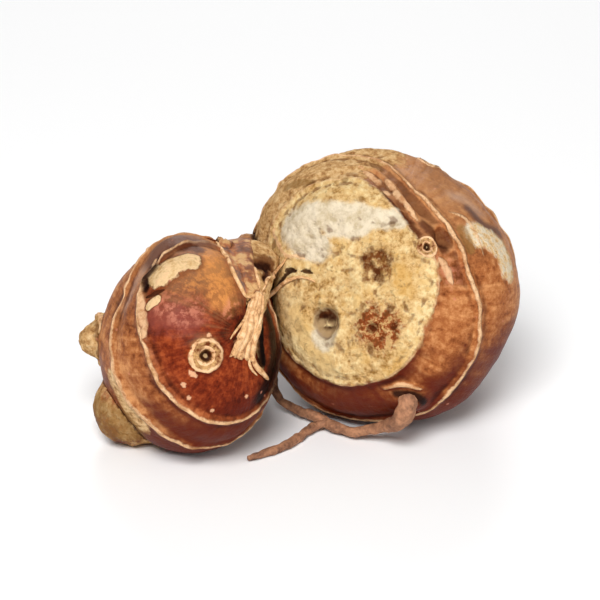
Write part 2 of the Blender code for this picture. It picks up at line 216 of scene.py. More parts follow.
MAIN = Lobe(
    name="main_lobe",
    spine=(
        (5.1, -2.95, 15.6), (7.8, 3.3, 12.65), (8.4, 11.5, 9.1), (7.0, 18.2, 6.7), (5.2, 23.2, 5.9),
    ),
    profile=(
        (-0.9, 0.0, 0.0), (-0.7, 3.4, 3.8), (-0.2, 6.9, 7.7), (0.6, SCAR_WIDTH, SCAR_HEIGHT),
        (1.5, SCAR_WIDTH + 0.9, SCAR_HEIGHT + 0.8), (3.0, 11.0, 11.4), (5.2, 12.3, 12.5),
        (7.8, MAIN_WIDTH, MAIN_HEIGHT), (11.5, 12.2, 12.3), (15.5, 10.5, 10.6), (19.5, 8.6, 8.9),
        (22.5, 7.3, 7.5), (25.0, 5.1, 5.2), (26.2, 2.6, 2.6), (26.5, 0.0, 0.0),
    ),
    rings=(
        Ring(SHOOT_SCAR_EDGE, height=0.6),
        Ring(((56, 9.0), (72, 9.6), (89, 11.2), (102, 12.6)), height=0.8, middle_angle=82.0, half_span=32.0),
        Ring(
            (
                (4, 12.4), (16, 11.5), (29, 11.3), (42, 11.0), (58, 11.0), (75, 11.7), (95, 14.2),
                (120, 16.2), (150, 17.2), (190, 18.0), (235, 17.6), (270, 16.5), (300, 15.4), (314, 14.6),
                (326, 14.3), (339, 13.8), (351, 13.2),
            )
        ),
        Ring(((30, 20.5), (120, 21.6), (210, 22.5), (300, 21.2))),
        Ring(((60, 25.6), (150, 26.4), (240, 26.8), (330, 26.0))),
        Ring(((30, 30.2), (120, 30.4), (210, 31.2), (300, 31.0))),
        Ring(((20, 34.8), (200, 35.2))),
        Ring(((20, 38.6), (200, 38.0)), height=0.8),
    ),
    marks=(
        Mark("knob", 13.5, 150.0, 7.0, 1.2),
        Mark("pit", 4.3, 237.0, 1.5, 0.9),
        Mark("dent", 3.0, 49.0, 1.7, 0.5),
        Mark("spot", 4.6, 317.0, 2.2, 0.35),
        Mark("eye", 8.2, 35.0, 1.05, 0.4),
        Mark("knot", 10.2, 37.0, 1.1, 0.35),
        Mark("eye", 18.0, 75.0, 1.3, 0.25),
        Mark("eye", 24.0, 20.0, 1.4, 0.5),
        Mark("eye", 23.4, 130.0, 1.5, 0.5),
        Mark("eye", 28.5, 60.0, 1.2, 0.45),
        Mark("eye", 33.0, 100.0, 1.4, 0.5),
        Mark("knob", 17.0, 47.0, 7.0, -0.8),
        Mark("knob", 14.9, 72.0, 6.5, -0.85),
        Mark("knob", 13.1, 301.0, 1.9, 0.8),
        Mark("tan", 14.5, 128.0, 5.0, stretch=2.0),
        Mark("tan", 12.5, 165.0, 4.0, stretch=2.0),
        Mark("scuff", 22.5, 65.0, 1.6, stretch=1.7),
        Mark("sheen", 27.5, 140.0, 3.0, stretch=1.6),
    ),
    cork_edge=SHOOT_SCAR_EDGE,
)

FINGER = Lobe(
    name="finger",
    spine=(
        (-5.3, -9.6, 14.0), (-10.4, -3.5, 9.9), (-9.2, 2.8, 9.5), (-3.5, 6.5, 9.9), (3.5, 8.5, 10.6),
    ),
    profile=(
        (0.0, 0.0, 0.0), (0.35, 2.45, 2.9), (1.5, 5.0, 5.9), (3.5, 7.0, 8.3), (6.0, 8.0, 9.6),
        (9.0, FINGER_WIDTH, FINGER_HEIGHT), (12.5, 8.0, 9.0), (16.5, 7.1, 7.2), (20.0, 6.5, 6.6),
        (24.0, 6.2, 6.5), (27.0, 4.5, 5.0), (28.0, 0.0, 0.0),
    ),
    rings=(
        Ring(
            (
                (20, 8.2), (55, 9.5), (87, 10.3), (112, 10.6), (128, 10.9), (144, 10.6), (158, 10.4),
                (169, 9.9), (181, 9.7), (195, 9.6), (208, 9.2), (226, 8.7), (249, 8.2), (267, 8.0),
                (285, 7.8), (330, 7.6),
            )
        ),
        Ring(
            (
                (30, 13.5), (90, 15.0), (130, 14.8), (162, 14.0), (179, 13.5), (189, 13.3), (201, 13.1),
                (213, 12.6), (270, 11.8), (330, 12.2),
            )
        ),
        Ring(((120, 19.5), (210, 18.6), (300, 18.0), (30, 18.8))),
        Ring(((60, 23.2), (150, 23.8), (240, 22.6), (330, 22.2))),
        Ring(((60, 28.2), (150, 28.0), (240, 26.8), (330, 27.0)), height=0.8),
    ),
    marks=(
        Mark("eye", 4.4, 191.0, 1.6, 0.55),
        Mark("eye", 17.0, 110.0, 1.3, 0.5),
        Mark("eye", 21.2, 150.0, 1.4, 0.5),
        Mark("knob", 14.6, 150.0, 4.5, -1.05),
        Mark("knob", 12.9, 120.0, 3.8, -0.8),
        Mark("scuff", 20.8, 100.0, 1.3, stretch=1.7),
        # Painted shade on the finger's right flank, over its first leaf scar
        Mark("shade", 7.7, 325.0, 1.6, stretch=3.0),
    ),
)

REAR_BUD = Lobe(
    name="rear_bud",
    spine=((16.5, 19.5, 9.5), (14.0, 16.0, 8.6), (10.0, 12.0, 9.0)),
    profile=(
        (0.0, 0.0, 0.0), (0.4, 1.6, 1.6), (1.6, 3.4, 3.4), (3.6, 4.8, 4.8), (6.0, 5.6, 5.6),
        (8.5, 5.9, 5.9), (10.0, 4.0, 4.0), (10.4, 0.0, 0.0),
    ),
    rings=(Ring(((0, 4.8), (180, 4.4))), Ring(((90, 8.2), (270, 7.6)))),
    marks=(Mark("knob", 0.0, 0.0, 1.2, 0.5),),
    tan=0.25,
)

LEFT_NUB = Lobe(
    name="left_nub",
    spine=((-20.7, -0.9, 9.0), (-17.6, -0.4, 9.0), (-14.0, 0.5, 9.0)),
    profile=(
        (0.0, 0.0, 0.0), (0.3, 0.9, 1.0), (1.2, 1.7, 1.9), (2.6, 2.5, 2.9), (4.5, 3.2, 3.5),
        (5.5, 0.0, 0.0),
    ),
    rings=(Ring(((0, 3.2), (180, 3.2))),),
    tan=0.9,
    clean=1.4,
)
LOW_LUMP = Lobe(
    name="low_lump",
    spine=((-19.0, -5.2, 2.8), (-15.8, -3.8, 3.4), (-11.5, -1.0, 5.0)),
    profile=(
        (0.0, 0.0, 0.0), (0.4, 1.6, 1.6), (1.5, 2.9, 2.9), (3.2, 3.7, 3.7), (5.5, 4.1, 4.1),
        (7.0, 0.0, 0.0),
    ),
    rings=(Ring(((0, 4.4), (180, 4.4)), height=0.4),),
    tan=0.52,
    clean=1.4,
)

SHEATH = Lobe(
    name="sheath",
    spine=(
        (-6.3, -10.7, 12.3), (-5.2, -9.0, 13.6), (-4.8, -6.8, 15.0), (-5.0, -3.6, 16.5), (-4.9, 0.0, 16.5),
        (-4.0, 3.8, 15.4),
    ),
    profile=(
        (0.0, 0.0, 0.0), (0.3, 0.5, 0.45), (2.0, 0.8, 0.65), (5.0, 1.5, 1.0), (8.0, 2.3, 1.3),
        (11.0, 2.8, 1.5), (14.0, 2.6, 2.0), (16.5, 0.0, 0.0),
    ),
    tan=1.0,
    clean=2.0,
)
SHEATH_TAIL = Lobe(
    name="sheath_tail",
    spine=((-3.3, -9.1, 9.8), (-3.8, -8.9, 12.2), (-4.3, -8.0, 14.0), (-4.8, -6.0, 15.2)),
    profile=(
        (0.0, 0.0, 0.0), (0.3, 0.4, 0.4), (2.0, 0.6, 0.55), (4.5, 0.9, 0.8), (6.5, 0.9, 0.8),
        (7.2, 0.0, 0.0),
    ),
    tan=1.0,
    clean=2.0,
)
LOBES = (MAIN, FINGER, REAR_BUD, LEFT_NUB, LOW_LUMP, SHEATH, SHEATH_TAIL)
# Each lobe's fields of distance, which are far away where nothing sets them
FIELDS = ("pit", "dent", "spot", "eye", "knot", "tan", "scuff", "sheen", "shade", "scar_edge")

TRACES = (
    # Finger: the scale scar on top with its dark edge and painted shade beside it, tints with painted
    # highlights and a painted sheen, flecks, and bark past the second ring
    Trace("scale", ((-12.7, -6.9, 18.7), (-11.9, -6.6, 19.0)), 1.6, 0.15),
    Trace("scale", ((-11.8, -6.5, 19.0), (-10.9, -6.2, 19.3), (-10.0, -5.8, 19.3)), 1.2, 0.15),
    Trace(
        "dark",
        (
            (-14.3, -7.2, 17.9), (-13.9, -5.4, 18.8), (-12.6, -3.9, 19.6), (-10.6, -3.4, 19.8),
            (-9.3, -3.9, 19.6),
        ),
        0.85,
    ),
    Trace(
        "seam",
        (
            (-15.0, -8.2, 16.5), (-14.9, -7.2, 17.4), (-14.8, -6.1, 18.1), (-14.4, -5.0, 18.8),
            (-13.7, -4.2, 19.3),
        ),
        0.55,
        0.08,
    ),
    Trace("crack", ((-14.2, -8.2, 17.1), (-13.4, -8.5, 17.4), (-12.2, -8.6, 17.8)), 0.28, -0.1),
    Trace("shade", ((-14.2, -7.5, 17.6), (-14.0, -6.4, 18.3), (-13.5, -5.4, 18.9)), 0.4),
    Trace("scale", ((-13.9, -9.1, 16.5), (-12.9, -9.1, 17.1)), 0.45, 0.1),
    Trace(
        "seam",
        ((-14.6, -7.6, 17.1), (-14.5, -8.7, 16.3), (-14.4, -9.6, 15.3), (-14.1, -10.5, 14.1)),
        0.6,
        0.08,
    ),
    # The pink traces on the finger are painted highlights on its plum skin
    Trace("pink", ((-12.6, -9.6, 16.8), (-11.0, -10.2, 16.2), (-9.6, -10.0, 16.4)), 1.2),
    Trace("plum", ((-13.2, -10.2, 15.8), (-11.4, -10.4, 15.9), (-9.8, -10.7, 15.6)), 1.5),
    Trace("pink", ((-6.2, -8.1, 16.4), (-6.6, -9.2, 15.8)), 0.6),
    # Painted orange highlight on the top of the finger, from the amber and glow traces
    Trace("amber_highlight", ((-8.3, -3.8, 19.3), (-8.0, -5.8, 18.8), (-7.3, -7.1, 17.9), (-7.1, -8.2, 16.9)), 1.5),
    Trace("glow", ((-7.4, -8.2, 17.0), (-8.6, -7.6, 18.2), (-10.6, -8.4, 18.0)), 1.3),
    # A painted sheen along the finger's upper left edge
    Trace("sheen", ((-17.1, -5.2, 15.6), (-15.6, -4.4, 17.9)), 1.2),
    Trace("dusky", ((-14.1, -3.9, 18.9), (-13.0, -2.8, 19.5), (-11.2, -1.9, 19.8), (-9.0, -1.9, 19.8)), 1.5),
    Trace("fleck", ((-10.0, -12.6, 11.6), (-9.3, -12.6, 11.0)), 0.3, 0.06),
    Trace("fleck", ((-10.6, -12.8, 10.2),), 0.3, 0.06),
    Trace("fleck", ((-10.1, -12.9, 8.9),), 0.26, 0.06),
    Trace("fleck", ((-8.2, -11.0, 14.4),), 0.24, 0.06),
    Trace("fleck", ((-4.8, -11.1, 8.3),), 0.22, 0.06),
    Trace("fleck", ((-7.9, -12.5, 7.5),), 0.22, 0.06),
    Trace("bark", ((-17.4, -7.3, 7.8), (-16.2, -8.0, 6.1), (-14.7, -8.5, 4.2)), 1.1),
    Trace("olive", ((-18.8, -4.9, 3.6), (-17.3, -6.0, 3.2), (-15.6, -5.5, 3.2)), 1.9),
    # Junction: painted shade in the gap under the husk, the hole behind it painted dark as shade, and the
    # split on the shoot scar's left edge
    Trace("shade", ((-2.5, -5.6, 13.9), (-1.9, -6.6, 11.6), (-2.0, -7.8, 9.2), (-3.0, -9.4, 7.4)), 1.3),
    Trace("shade", ((-2.8, -8.2, 14.2), (-2.8, -9.2, 12.4), (-2.6, -9.2, 10.8)), 0.7),
    Trace("hole", ((-3.8, -3.0, 18.0), (-3.1, -2.3, 17.8), (-2.5, -2.0, 17.3)), 1.05, -0.6),
    Trace("hole", ((-3.6, -8.2, 14.5), (-3.5, -8.9, 13.4), (-3.3, -9.3, 12.1), (-3.1, -9.3, 10.7)), 0.45),
    Trace("hole", ((-3.0, -2.4, 17.4), (-3.0, -3.6, 17.2), (-3.3, -4.7, 17.1)), 0.4, -0.3),
    Trace(
        "crack",
        ((-2.7, 0.9, 12.9), (-2.0, 0.0, 14.5), (-1.3, -0.3, 15.5), (-0.7, -0.5, 16.0)),
        0.26,
        -0.2,
    ),
    Trace("crack", ((-1.3, -0.1, 15.9), (-0.8, -0.4, 16.0), (-0.3, -0.7, 16.1)), 0.32, -0.2),
    Trace("crack", ((0.2, -1.0, 16.2), (1.2, -1.5, 16.3)), 0.28, -0.15),
    Trace("crack", ((-4.5, -7.0, 16.1), (-4.8, -8.0, 15.4)), 0.3, -0.1),
    Trace("crack", ((-5.2, -8.7, 15.0), (-5.9, -9.9, 14.3)), 0.26, -0.1),
    Trace("crack", ((-5.3, -9.5, 14.1), (-5.9, -10.3, 13.6)), 0.26, -0.1),
    # Shoot scar: the grey patch, its pale rim, the bowl round the pit, and stains
    Trace("grey", ((0.2, 1.9, 19.1), (1.2, 1.2, 20.2)), 2.1),
    Trace("grey", ((0.4, 0.4, 18.4), (1.8, -0.6, 18.5)), 1.5),
    Trace("grey", ((3.0, 0.3, 20.8), (5.5, -0.9, 21.2)), 1.8),
    Trace("grey", ((7.0, -1.4, 21.7), (8.8, -1.9, 21.9)), 1.1),
    Trace("grey", ((2.2, -4.0, 12.2), (2.2, -4.3, 11.3)), 1.4, -0.3),
    Trace("seam", ((-1.8, 4.6, 19.3), (-1.8, 3.1, 17.9), (-1.4, 1.2, 17.4), (0.5, -0.6, 17.2)), 0.3, 0.12),
    Trace("dark", ((-2.2, 5.6, 18.8), (-2.4, 4.1, 17.7), (-2.6, 3.6, 16.8)), 0.4),
    Trace("olive", ((-0.5, 6.1, 21.1), (1.2, 4.9, 22.1)), 0.5),
    Trace("olive", ((4.2, 3.2, 23.6),), 0.4),
    Trace("olive", ((5.7, 0.2, 23.0),), 0.35),
    Trace("olive", ((8.4, -1.9, 21.8),), 0.35),
    Trace("yellow", ((8.9, -4.4, 17.8), (9.6, -5.2, 16.4)), 1.2),
    # The pale trace is painted light on the shoot scar's lower-left rim, beside the finger
    Trace("pale", ((-1.6, -2.4, 13.6), (-0.9, -3.2, 11.6), (0.4, -4.4, 9.6), (2.2, -5.6, 8.2)), 1.2),
    Trace("yellow", ((-0.8, -3.0, 12.6), (0.4, -4.2, 10.4), (2.0, -5.4, 8.6)), 1.2),
    # Main lobe: the dark wedges beside the leaf scars, the scuffs, and a side line of the strong scar
    Trace("brown", ((4.8, 4.8, 24.3), (6.5, 2.5, 24.2), (8.1, -0.3, 23.4), (9.8, -2.3, 21.8)), 0.5),
    Trace("dark", ((7.5, 0.5, 23.8), (8.8, -1.1, 22.9), (9.6, -2.3, 21.8)), 0.45),
    Trace(
        "seam",
        (
            (5.5, 4.4, 24.6), (6.6, 3.2, 24.6), (7.7, 1.7, 24.4), (8.3, 0.9, 24.1), (8.8, 0.2, 23.8),
            (9.8, -1.0, 23.1), (10.6, -2.1, 22.1),
        ),
        0.5,
        0.08,
    ),
    Trace("dark", ((9.4, -1.9, 22.2), (10.6, -3.1, 21.0)), 0.7),
    Trace("dark", ((4.5, 5.2, 24.3), (5.2, 4.0, 24.3)), 0.55),
    Trace("dark", ((11.3, -2.3, 21.7), (12.4, -2.6, 21.0), (13.4, -3.2, 19.8)), 0.55),
    Trace("pink", ((13.3, -4.2, 18.9), (14.2, -4.4, 17.2)), 1.1),
    Trace("seam", ((12.9, -4.1, 19.0), (13.6, -4.4, 18.0), (14.1, -4.8, 16.8)), 0.5, 0.05),
    Trace("scuff", ((16.5, -1.0, 20.2), (17.6, -0.4, 19.4), (18.9, -0.1, 18.0), (19.4, -0.5, 16.4)), 1.3),
    Trace("olive", ((15.1, -1.6, 20.9), (15.8, -2.6, 19.3)), 0.6),
    Trace(
        "seam",
        ((13.8, -0.3, 22.5), (15.6, -0.3, 21.5), (16.7, -1.5, 19.6), (17.1, -2.3, 18.4)),
        0.24,
        0.08,
    ),
    Trace("dusky", ((16.2, 1.6, 22.0), (17.4, 0.8, 20.6), (18.9, 1.8, 19.2)), 0.9),
    # A painted sheen along the top edge, with some dust
    Trace("sheen", ((14.8, 2.8, 23.1), (16.2, 2.9, 22.2), (17.2, 2.5, 21.3)), 1.1),
    Trace("seam", ((7.6, -6.6, 6.6), (9.4, -6.8, 7.3), (11.2, -6.6, 6.8)), 0.32, 0.2),
    # Painted shade beside the front root
    Trace("shade", ((9.0, -6.2, 6.3), (10.4, -6.2, 6.2), (11.4, -6.0, 5.2)), 0.45),
)
# Kinds of trace that are thin lines, finer at their ends
LINES = ("crack", "seam", "fleck")
TRACE_PITCH = 0.15
TRACE_SPREAD = 0.8
LINE_END = 0.4

# The dry roots: name, route, and the radius at each point of the route
ROOTS = (
    (
        "front_root",
        (
            (9.6, -3.6, 6.6), (10.0, -6.4, 5.4), (9.2, -6.3, 3.3), (7.8, -4.6, 1.9), (5.1, -3.6, 0.85),
            (3.0, -2.3, 0.8), (1.8, -0.9, 0.9), (-2.0, 2.6, 1.2), (-3.2, 5.5, 4.5),
        ),
        (0.95, 1.1, 0.8, 0.6, 0.5, 0.5, 0.5, 0.45, 0.5),
    ),
    (
        "crossing_root",
        ((2.6, -1.8, 0.9), (1.2, -2.2, 0.6), (-0.6, -4.8, 0.5), (-2.2, -6.4, 0.45), (-4.8, -8.1, 0.4)),
        (0.4, 0.42, 0.4, 0.38, 0.3),
    ),
    (
        "left_root",
        ((-8.0, 4.5, 4.5), (-10.5, 9.0, 1.6), (-12.6, 11.6, 0.7), (-15.6, 12.4, 0.5)),
        (0.8, 0.65, 0.5, 0.35),
    ),
    (
        "right_root",
        ((11.5, 8.0, 3.5), (15.8, 11.0, 1.2), (18.2, 14.0, 0.65), (18.9, 17.8, 0.5)),
        (0.9, 0.7, 0.5, 0.35),
    ),
    (
        "rear_root",
        ((6.5, 15.0, 3.5), (3.2, 19.2, 1.3), (0.2, 20.6, 0.65), (-3.0, 19.8, 0.5)),
        (0.8, 0.65, 0.5, 0.35),
    ),
)
ROOT_PITCH = 0.3
ROOT_KNOTS = 0.35
ROOT_KNOT_SIZE = 2.2
ROOT_PLEAT = 0.16
ROOT_PLEAT_SIZE = 0.7
TUBE_RESOLUTION = 4
WELD_DISTANCE = 0.01

# The dry husk between the finger and the main lobe: webs, and strands with their routes and radii
WEBS = (
    Web(
        "flap",
        ((-4.2, -6.3, 16.4), (-4.7, -7.9, 15.5), (-5.5, -9.8, 14.0), (-6.4, -11.3, 12.3)),
        ((-3.4, -6.3, 16.2), (-3.5, -7.6, 15.0), (-3.9, -9.0, 13.2), (-4.0, -10.0, 11.2)),
        pleats=4,
        pleat_lift=0.14,
        dusk_shade=0.0,
    ),
    Web(
        "collar",
        ((-7.6, 1.0, 18.9), (-7.0, -2.8, 18.8), (-6.2, -5.2, 17.8), (-5.2, -6.6, 16.7), (-4.3, -6.5, 16.3)),
        ((-4.6, 3.0, 17.3), (-4.5, -0.7, 18.0), (-4.3, -3.6, 17.6), (-4.0, -5.2, 17.0), (-3.7, -6.2, 16.4)),
        pleats=3,
        pleat_lift=0.12,
        dusk_shade=0.85,
    ),
)
STRANDS = (
    (
        ((-3.6, -6.3, 16.3), (-2.8, -0.4, 13.4), (-1.5, -0.7, 14.9), (0.3, -1.2, 15.8), (1.4, -2.0, 15.6)),
        0.2,
    ),
    (((-3.6, -6.2, 16.4), (-3.0, -4.0, 16.6), (-2.2, -0.8, 16.2), (-1.2, 0.4, 16.8)), 0.16),
    (
        ((-7.7, -0.2, 19.0), (-6.6, -4.6, 18.3), (-5.7, -6.3, 17.1), (-4.9, -7.0, 16.2), (-4.0, -6.5, 16.3)),
        0.2,
    ),
    (((-4.6, -7.2, 16.0), (-4.9, -8.4, 15.0), (-5.8, -9.8, 14.3), (-6.3, -10.5, 13.8)), 0.13),
    (((-4.2, -3.6, 17.8), (-4.0, -4.8, 17.2), (-3.8, -6.2, 16.4)), 0.16),
    (((-4.3, -9.9, 12.2), (-4.1, -10.0, 11.0), (-3.4, -9.5, 9.9), (-2.9, -9.0, 9.0)), 0.24),
    (((-4.7, -9.8, 12.4), (-4.6, -10.3, 11.0), (-3.9, -10.0, 9.9)), 0.14),
)
HUSK_PITCH = 0.25
WEB_COLUMNS = 28
WEB_LIFT = 0.12
WEB_DEPTH = 0.5
WEB_FRAY = 0.16
WEB_TEARS = 4.0
WEB_SWAY = 0.4
WEB_SWAY_SIZE = 2.0
STRAND_END = 0.3
STRAND_KNOTS = 0.25
STRAND_KNOT_SIZE = 1.1
STRAND_LIFT = 0.6
EASING_ROUNDS = 4


def read_along(stations, along, values):
    """Each column of the values, read at the stations."""
    return np.column_stack([np.interp(stations, along, column) for column in values.T])


def path_lengths(path):
    """Each point's distance along the path."""
    steps = np.linalg.norm(np.diff(path, axis=0), axis=1)
    return np.concatenate([[0.0], np.cumsum(steps)])


def smooth_path(points, pitch):
    """A Catmull-Rom curve through the points, read at about one point each pitch."""
    points = np.array(points, float)
    padded = np.vstack([2 * points[0] - points[1], points, 2 * points[-1] - points[-2]])
    t = np.linspace(0.0, 1.0, CURVE_STEPS, endpoint=False)[:, None]
    stretches = []
    for a, b, c, d in zip(padded, padded[1:], padded[2:], padded[3:]):
        bend = (2 * a - 5 * b + 4 * c - d) * t**2
        turn = (3 * b - a - 3 * c + d) * t**3
        stretches.append(0.5 * (2 * b + (c - a) * t + bend + turn))
    fine = np.vstack([*stretches, points[-1:]])
    along = path_lengths(fine)
    count = max(3, round(along[-1] / pitch))
    return read_along(np.linspace(0.0, along[-1], count + 1), along, fine)


def unit(vectors):
    """The vectors at length 1."""
    return vectors / np.maximum(np.linalg.norm(vectors, axis=-1, keepdims=True), 1e-9)


def eased_directions(path, along, stations):
    """The path's direction at each station, averaged over a stretch so that cross-sections turn gently."""
    tangents = unit(np.gradient(path, along, axis=0))
    half = round(EASED_STRETCH / EASED_PITCH / 2)
    padded = np.pad(tangents, ((half, half), (0, 0)), mode="edge")
    window = np.hanning(2 * half + 3)[1:-1]
    window /= window.sum()
    eased = np.column_stack([np.convolve(column, window, mode="valid") for column in padded.T])
    return unit(read_along(stations, along, eased))


def spine_frames(spine, stations):
    """Centre, sideways and upward directions at each station. The spine runs straight on past its ends."""
    path = smooth_path(spine, EASED_PITCH)
    along = path_lengths(path)
    inside = np.clip(stations, 0.0, along[-1])
    forward = eased_directions(path, along, inside)
    centres = read_along(inside, along, path) + forward * (stations - inside)[:, None]
    sideways = unit(np.cross(forward, UP))
    return centres, sideways, np.cross(sideways, forward)


def sweep(lobe):
    """The lobe's smooth surface as rows of points from pole to pole, with skin distances and angles."""
    profile = smooth_path(lobe.profile, SKIN_PITCH)
    profile[:, 1:] = np.maximum(profile[:, 1:], 0.0)
    distances = path_lengths(np.column_stack([profile[:, 0], profile[:, 1:].mean(axis=1)]))
    centres, sideways, upward = spine_frames(lobe.spine, profile[:, 0])
    sides = round(math.tau * profile[:, 1].max() / SKIN_PITCH)
    angles = np.linspace(0.0, math.tau, sides, endpoint=False)
    across = profile[:, 1, None, None] * np.cos(angles)[None, :, None]
    upright = profile[:, 2, None, None] * np.sin(angles)[None, :, None]
    points = centres[:, None] + across * sideways[:, None] + upright * upward[:, None]
    distance_grid = np.repeat(distances[:, None], sides, axis=1)
    angle_grid = np.repeat(angles[None], len(distances), axis=0)
    return points, distance_grid, angle_grid


def normals_of(points):
    """Outward directions of a swept surface."""
    along = np.gradient(points, axis=0)
    around = np.roll(points, -1, axis=1) - np.roll(points, 1, axis=1)
    normals = unit(np.cross(along, around))
    normals[0] = unit(normals[1].mean(axis=0))
    normals[-1] = unit(normals[-2].mean(axis=0))
    return normals


def angle_between(a, b):
    """The unsigned angle from a to b, in radians."""
    return np.abs((a - b + math.pi) % math.tau - math.pi)


def course_at(course, angles):
    """The distance at each angle of a closed course of angles and distances, smooth between them."""
    points = np.array(sorted(course), float)
    turn = (360.0, 0.0)
    padded = np.vstack([points[-2:] - turn, points, points[:2] + turn])
    slopes = (padded[2:, 1] - padded[:-2, 1]) / (padded[2:, 0] - padded[:-2, 0])
    wrapped = padded[1:-1]
    degrees = np.degrees(angles) % 360.0
    left = np.clip(np.searchsorted(wrapped[:, 0], degrees, side="right") - 1, 0, len(wrapped) - 2)
    span = wrapped[left + 1, 0] - wrapped[left, 0]
    t = (degrees - wrapped[left, 0]) / span
    rise = wrapped[left + 1, 1] - wrapped[left, 1]
    start = slopes[left] * span
    stop = slopes[left + 1] * span
    second = 3 * rise - 2 * start - stop
    third = start + stop - 2 * rise
    return wrapped[left, 1] + t * start + t**2 * second + t**3 * third


def bell(values, middle, spread):
    """1 at the middle, falling off smoothly to both sides."""
    return np.exp(-(((values - middle) / spread) ** 2))


def fading(values, sharpness):
    """1 well below 0, falling through a half at 0 to nothing above."""
    return 1.0 / (1.0 + np.exp(np.clip(values * sharpness, -60.0, 60.0)))


def noise_at(points, size, seed):
    """Perlin noise at each point, with features of that size."""
    shifted = points.reshape(-1, 3) / size + seed
    return np.array([noise.noise(Vector(p)) for p in shifted]).reshape(points.shape[:-1])


def crumbs_at(points, size, seed):
    """Noise of three sizes, each half of the last and half as strong."""
    coarse = noise_at(points, size, seed)
    middling = noise_at(points, size / 2, seed)
    return coarse + 0.5 * middling + 0.25 * noise_at(points, size / 4, seed)


def straightened(distances, angles):
    """Where each point would lie on the lobe if it were a straight tube, for patterns that run along it."""
    across = TYPICAL_RADIUS * np.cos(angles)
    upright = TYPICAL_RADIUS * np.sin(angles)
    return np.stack([across, upright, distances], axis=-1)


def mark_away(mark, points, normals, distances, angles):
    """How far each point is from the mark's middle, in the mark's radii."""
    off = (distances - mark.distance) ** 2
    off = off + (angle_between(angles, math.radians(mark.angle)) * TYPICAL_RADIUS) ** 2
    row, column = np.unravel_index(np.argmin(off), off.shape)
    row = min(max(row, 1), len(points) - 2)
    along = unit(points[row + 1, column] - points[row - 1, column])
    around = np.cross(normals[row, column], along)
    offset = points - points[row, column]
    sideways = offset @ around
    shortened = offset + (sideways / mark.stretch - sideways)[..., None] * around
    return np.linalg.norm(shortened, axis=-1) / mark.radius


def mark_relief(mark, away, points):
    """The relief of a mark, which is nothing for a stain."""
    if mark.kind in ("pit", "dent", "knot"):
        return mark.height * (PIT_RIM_HEIGHT * bell(away, *PIT_RIM) - np.exp(-(away**4)))
    if mark.kind == "eye":
        hollow = EYE_HOLLOW_DEPTH * bell(away, 0.0, EYE_HOLLOW_SPREAD)
        rims = EYE_RIM_HEIGHT * bell(away, *EYE_RIM) + EYE_INNER_RIM_HEIGHT * bell(away, *EYE_INNER_RIM)
        return mark.height * (rims - hollow)
    if mark.kind == "spot":
        grain = GRAIN_HEIGHT * noise_at(points, GRAIN_SIZE, GRAIN_SEED)
        return mark.height * np.exp(-(away**4)) * (SPOT_RISE + grain)
    return mark.height * bell(away, 0.0, KNOB_SPREAD)


def raise_rings(relief, lobe, straight, distances, angles):
    """Adds the lobe's leaf scars to the relief, and gives the distance from them, more for faint ones."""
    gap = np.full(distances.shape, FAR)
    ragged = RING_HEIGHT * (1.0 + RING_FRAY * noise_at(straight, FRAY_SIZE, LUMP_SEED))
    for ring in lobe.rings:
        off = distances - course_at(ring.course, angles)
        away = angle_between(angles, math.radians(ring.middle_angle)) - math.radians(ring.half_span)
        shown = fading(away, RING_FADE)
        pinch = PINCH_DEPTH * bell(off, 0.0, PINCH_WIDTH)
        relief += ring.height * shown * (ragged * bell(off, 0.0, RING_WIDTH) - pinch)
        faint = FAR * (1.0 - shown) + FAINT_RING * (1.0 - ring.height)
        gap = np.minimum(gap, np.abs(off) + faint)
    return gap


def carved(lobe):
    """The lobe's surface with its relief, and its fields as a dictionary of grids."""
    points, distances, angles = sweep(lobe)
    normals = normals_of(points)
    straight = straightened(distances, angles)
    fields = {kind: np.full(distances.shape, FAR) for kind in FIELDS}
    relief = LUMP_HEIGHT * noise_at(points, LUMP_SIZE, LUMP_SEED)
    relief += WRINKLE_HEIGHT * noise_at(points, WRINKLE_SIZE, WRINKLE_SEED)
    if lobe.cork_edge:
        fields["scar_edge"] = distances - course_at(lobe.cork_edge, angles)
        cork = fading(distances - CORK_EDGE, CORK_FADE)
        relief += cork * CORK_HEIGHT * noise_at(points, CORK_SIZE, CORK_SEED)
    fields["ring_gap"] = raise_rings(relief, lobe, straight, distances, angles)
    fields["young"] = np.zeros(distances.shape)
    if lobe.rings:
        fields["young"] = fading(distances - course_at(lobe.rings[0].course, angles), YOUNG_FADE)
    for mark in lobe.marks:
        away = mark_away(mark, points, normals, distances, angles)
        relief += mark_relief(mark, away, points)
        if mark.kind in fields:
            fields[mark.kind] = np.minimum(fields[mark.kind], away)
    fields["tan"] = np.maximum(lobe.tan, fading(fields["tan"] - 1.0, CRUMBLY_FADE))
    crumbly = np.maximum(fading(fields["scar_edge"], CRUMBLY_FADE), fields["tan"])
    relief += CRUMB_HEIGHT * crumbly * crumbs_at(points, CRUMB_SIZE, CORK_SEED)
    relief -= CRACK_DEPTH * crumbly * bell(noise_at(points, CRACK_SIZE, GRAIN_SEED), 0.0, CRACK_SHARE)
    scale = (1.0 / PLEAT_SIZE, 1.0 / PLEAT_SIZE, 1.0 / PLEAT_LENGTH)
    pleats = noise_at(straight * scale, 1.0, WRINKLE_SEED)
    relief += PLEAT_HEIGHT * (1.0 - 0.5 * crumbly) * np.clip(distances / PLEAT_START, 0.0, 1.0) * pleats
    return points + normals * relief[..., None], straight, fields


def placed(name, data):
    """An object of that data, put into the scene."""
    made = bpy.data.objects.new(name, data)
    bpy.context.scene.collection.objects.link(made)
    return made


def mesh_of(name, vertices, faces):
    """A mesh from points in millimetres."""
    mesh = bpy.data.meshes.new(name)
    mesh.from_pydata([tuple(v) for v in np.asarray(vertices) * MM], [], faces)
    mesh.validate()
    return mesh


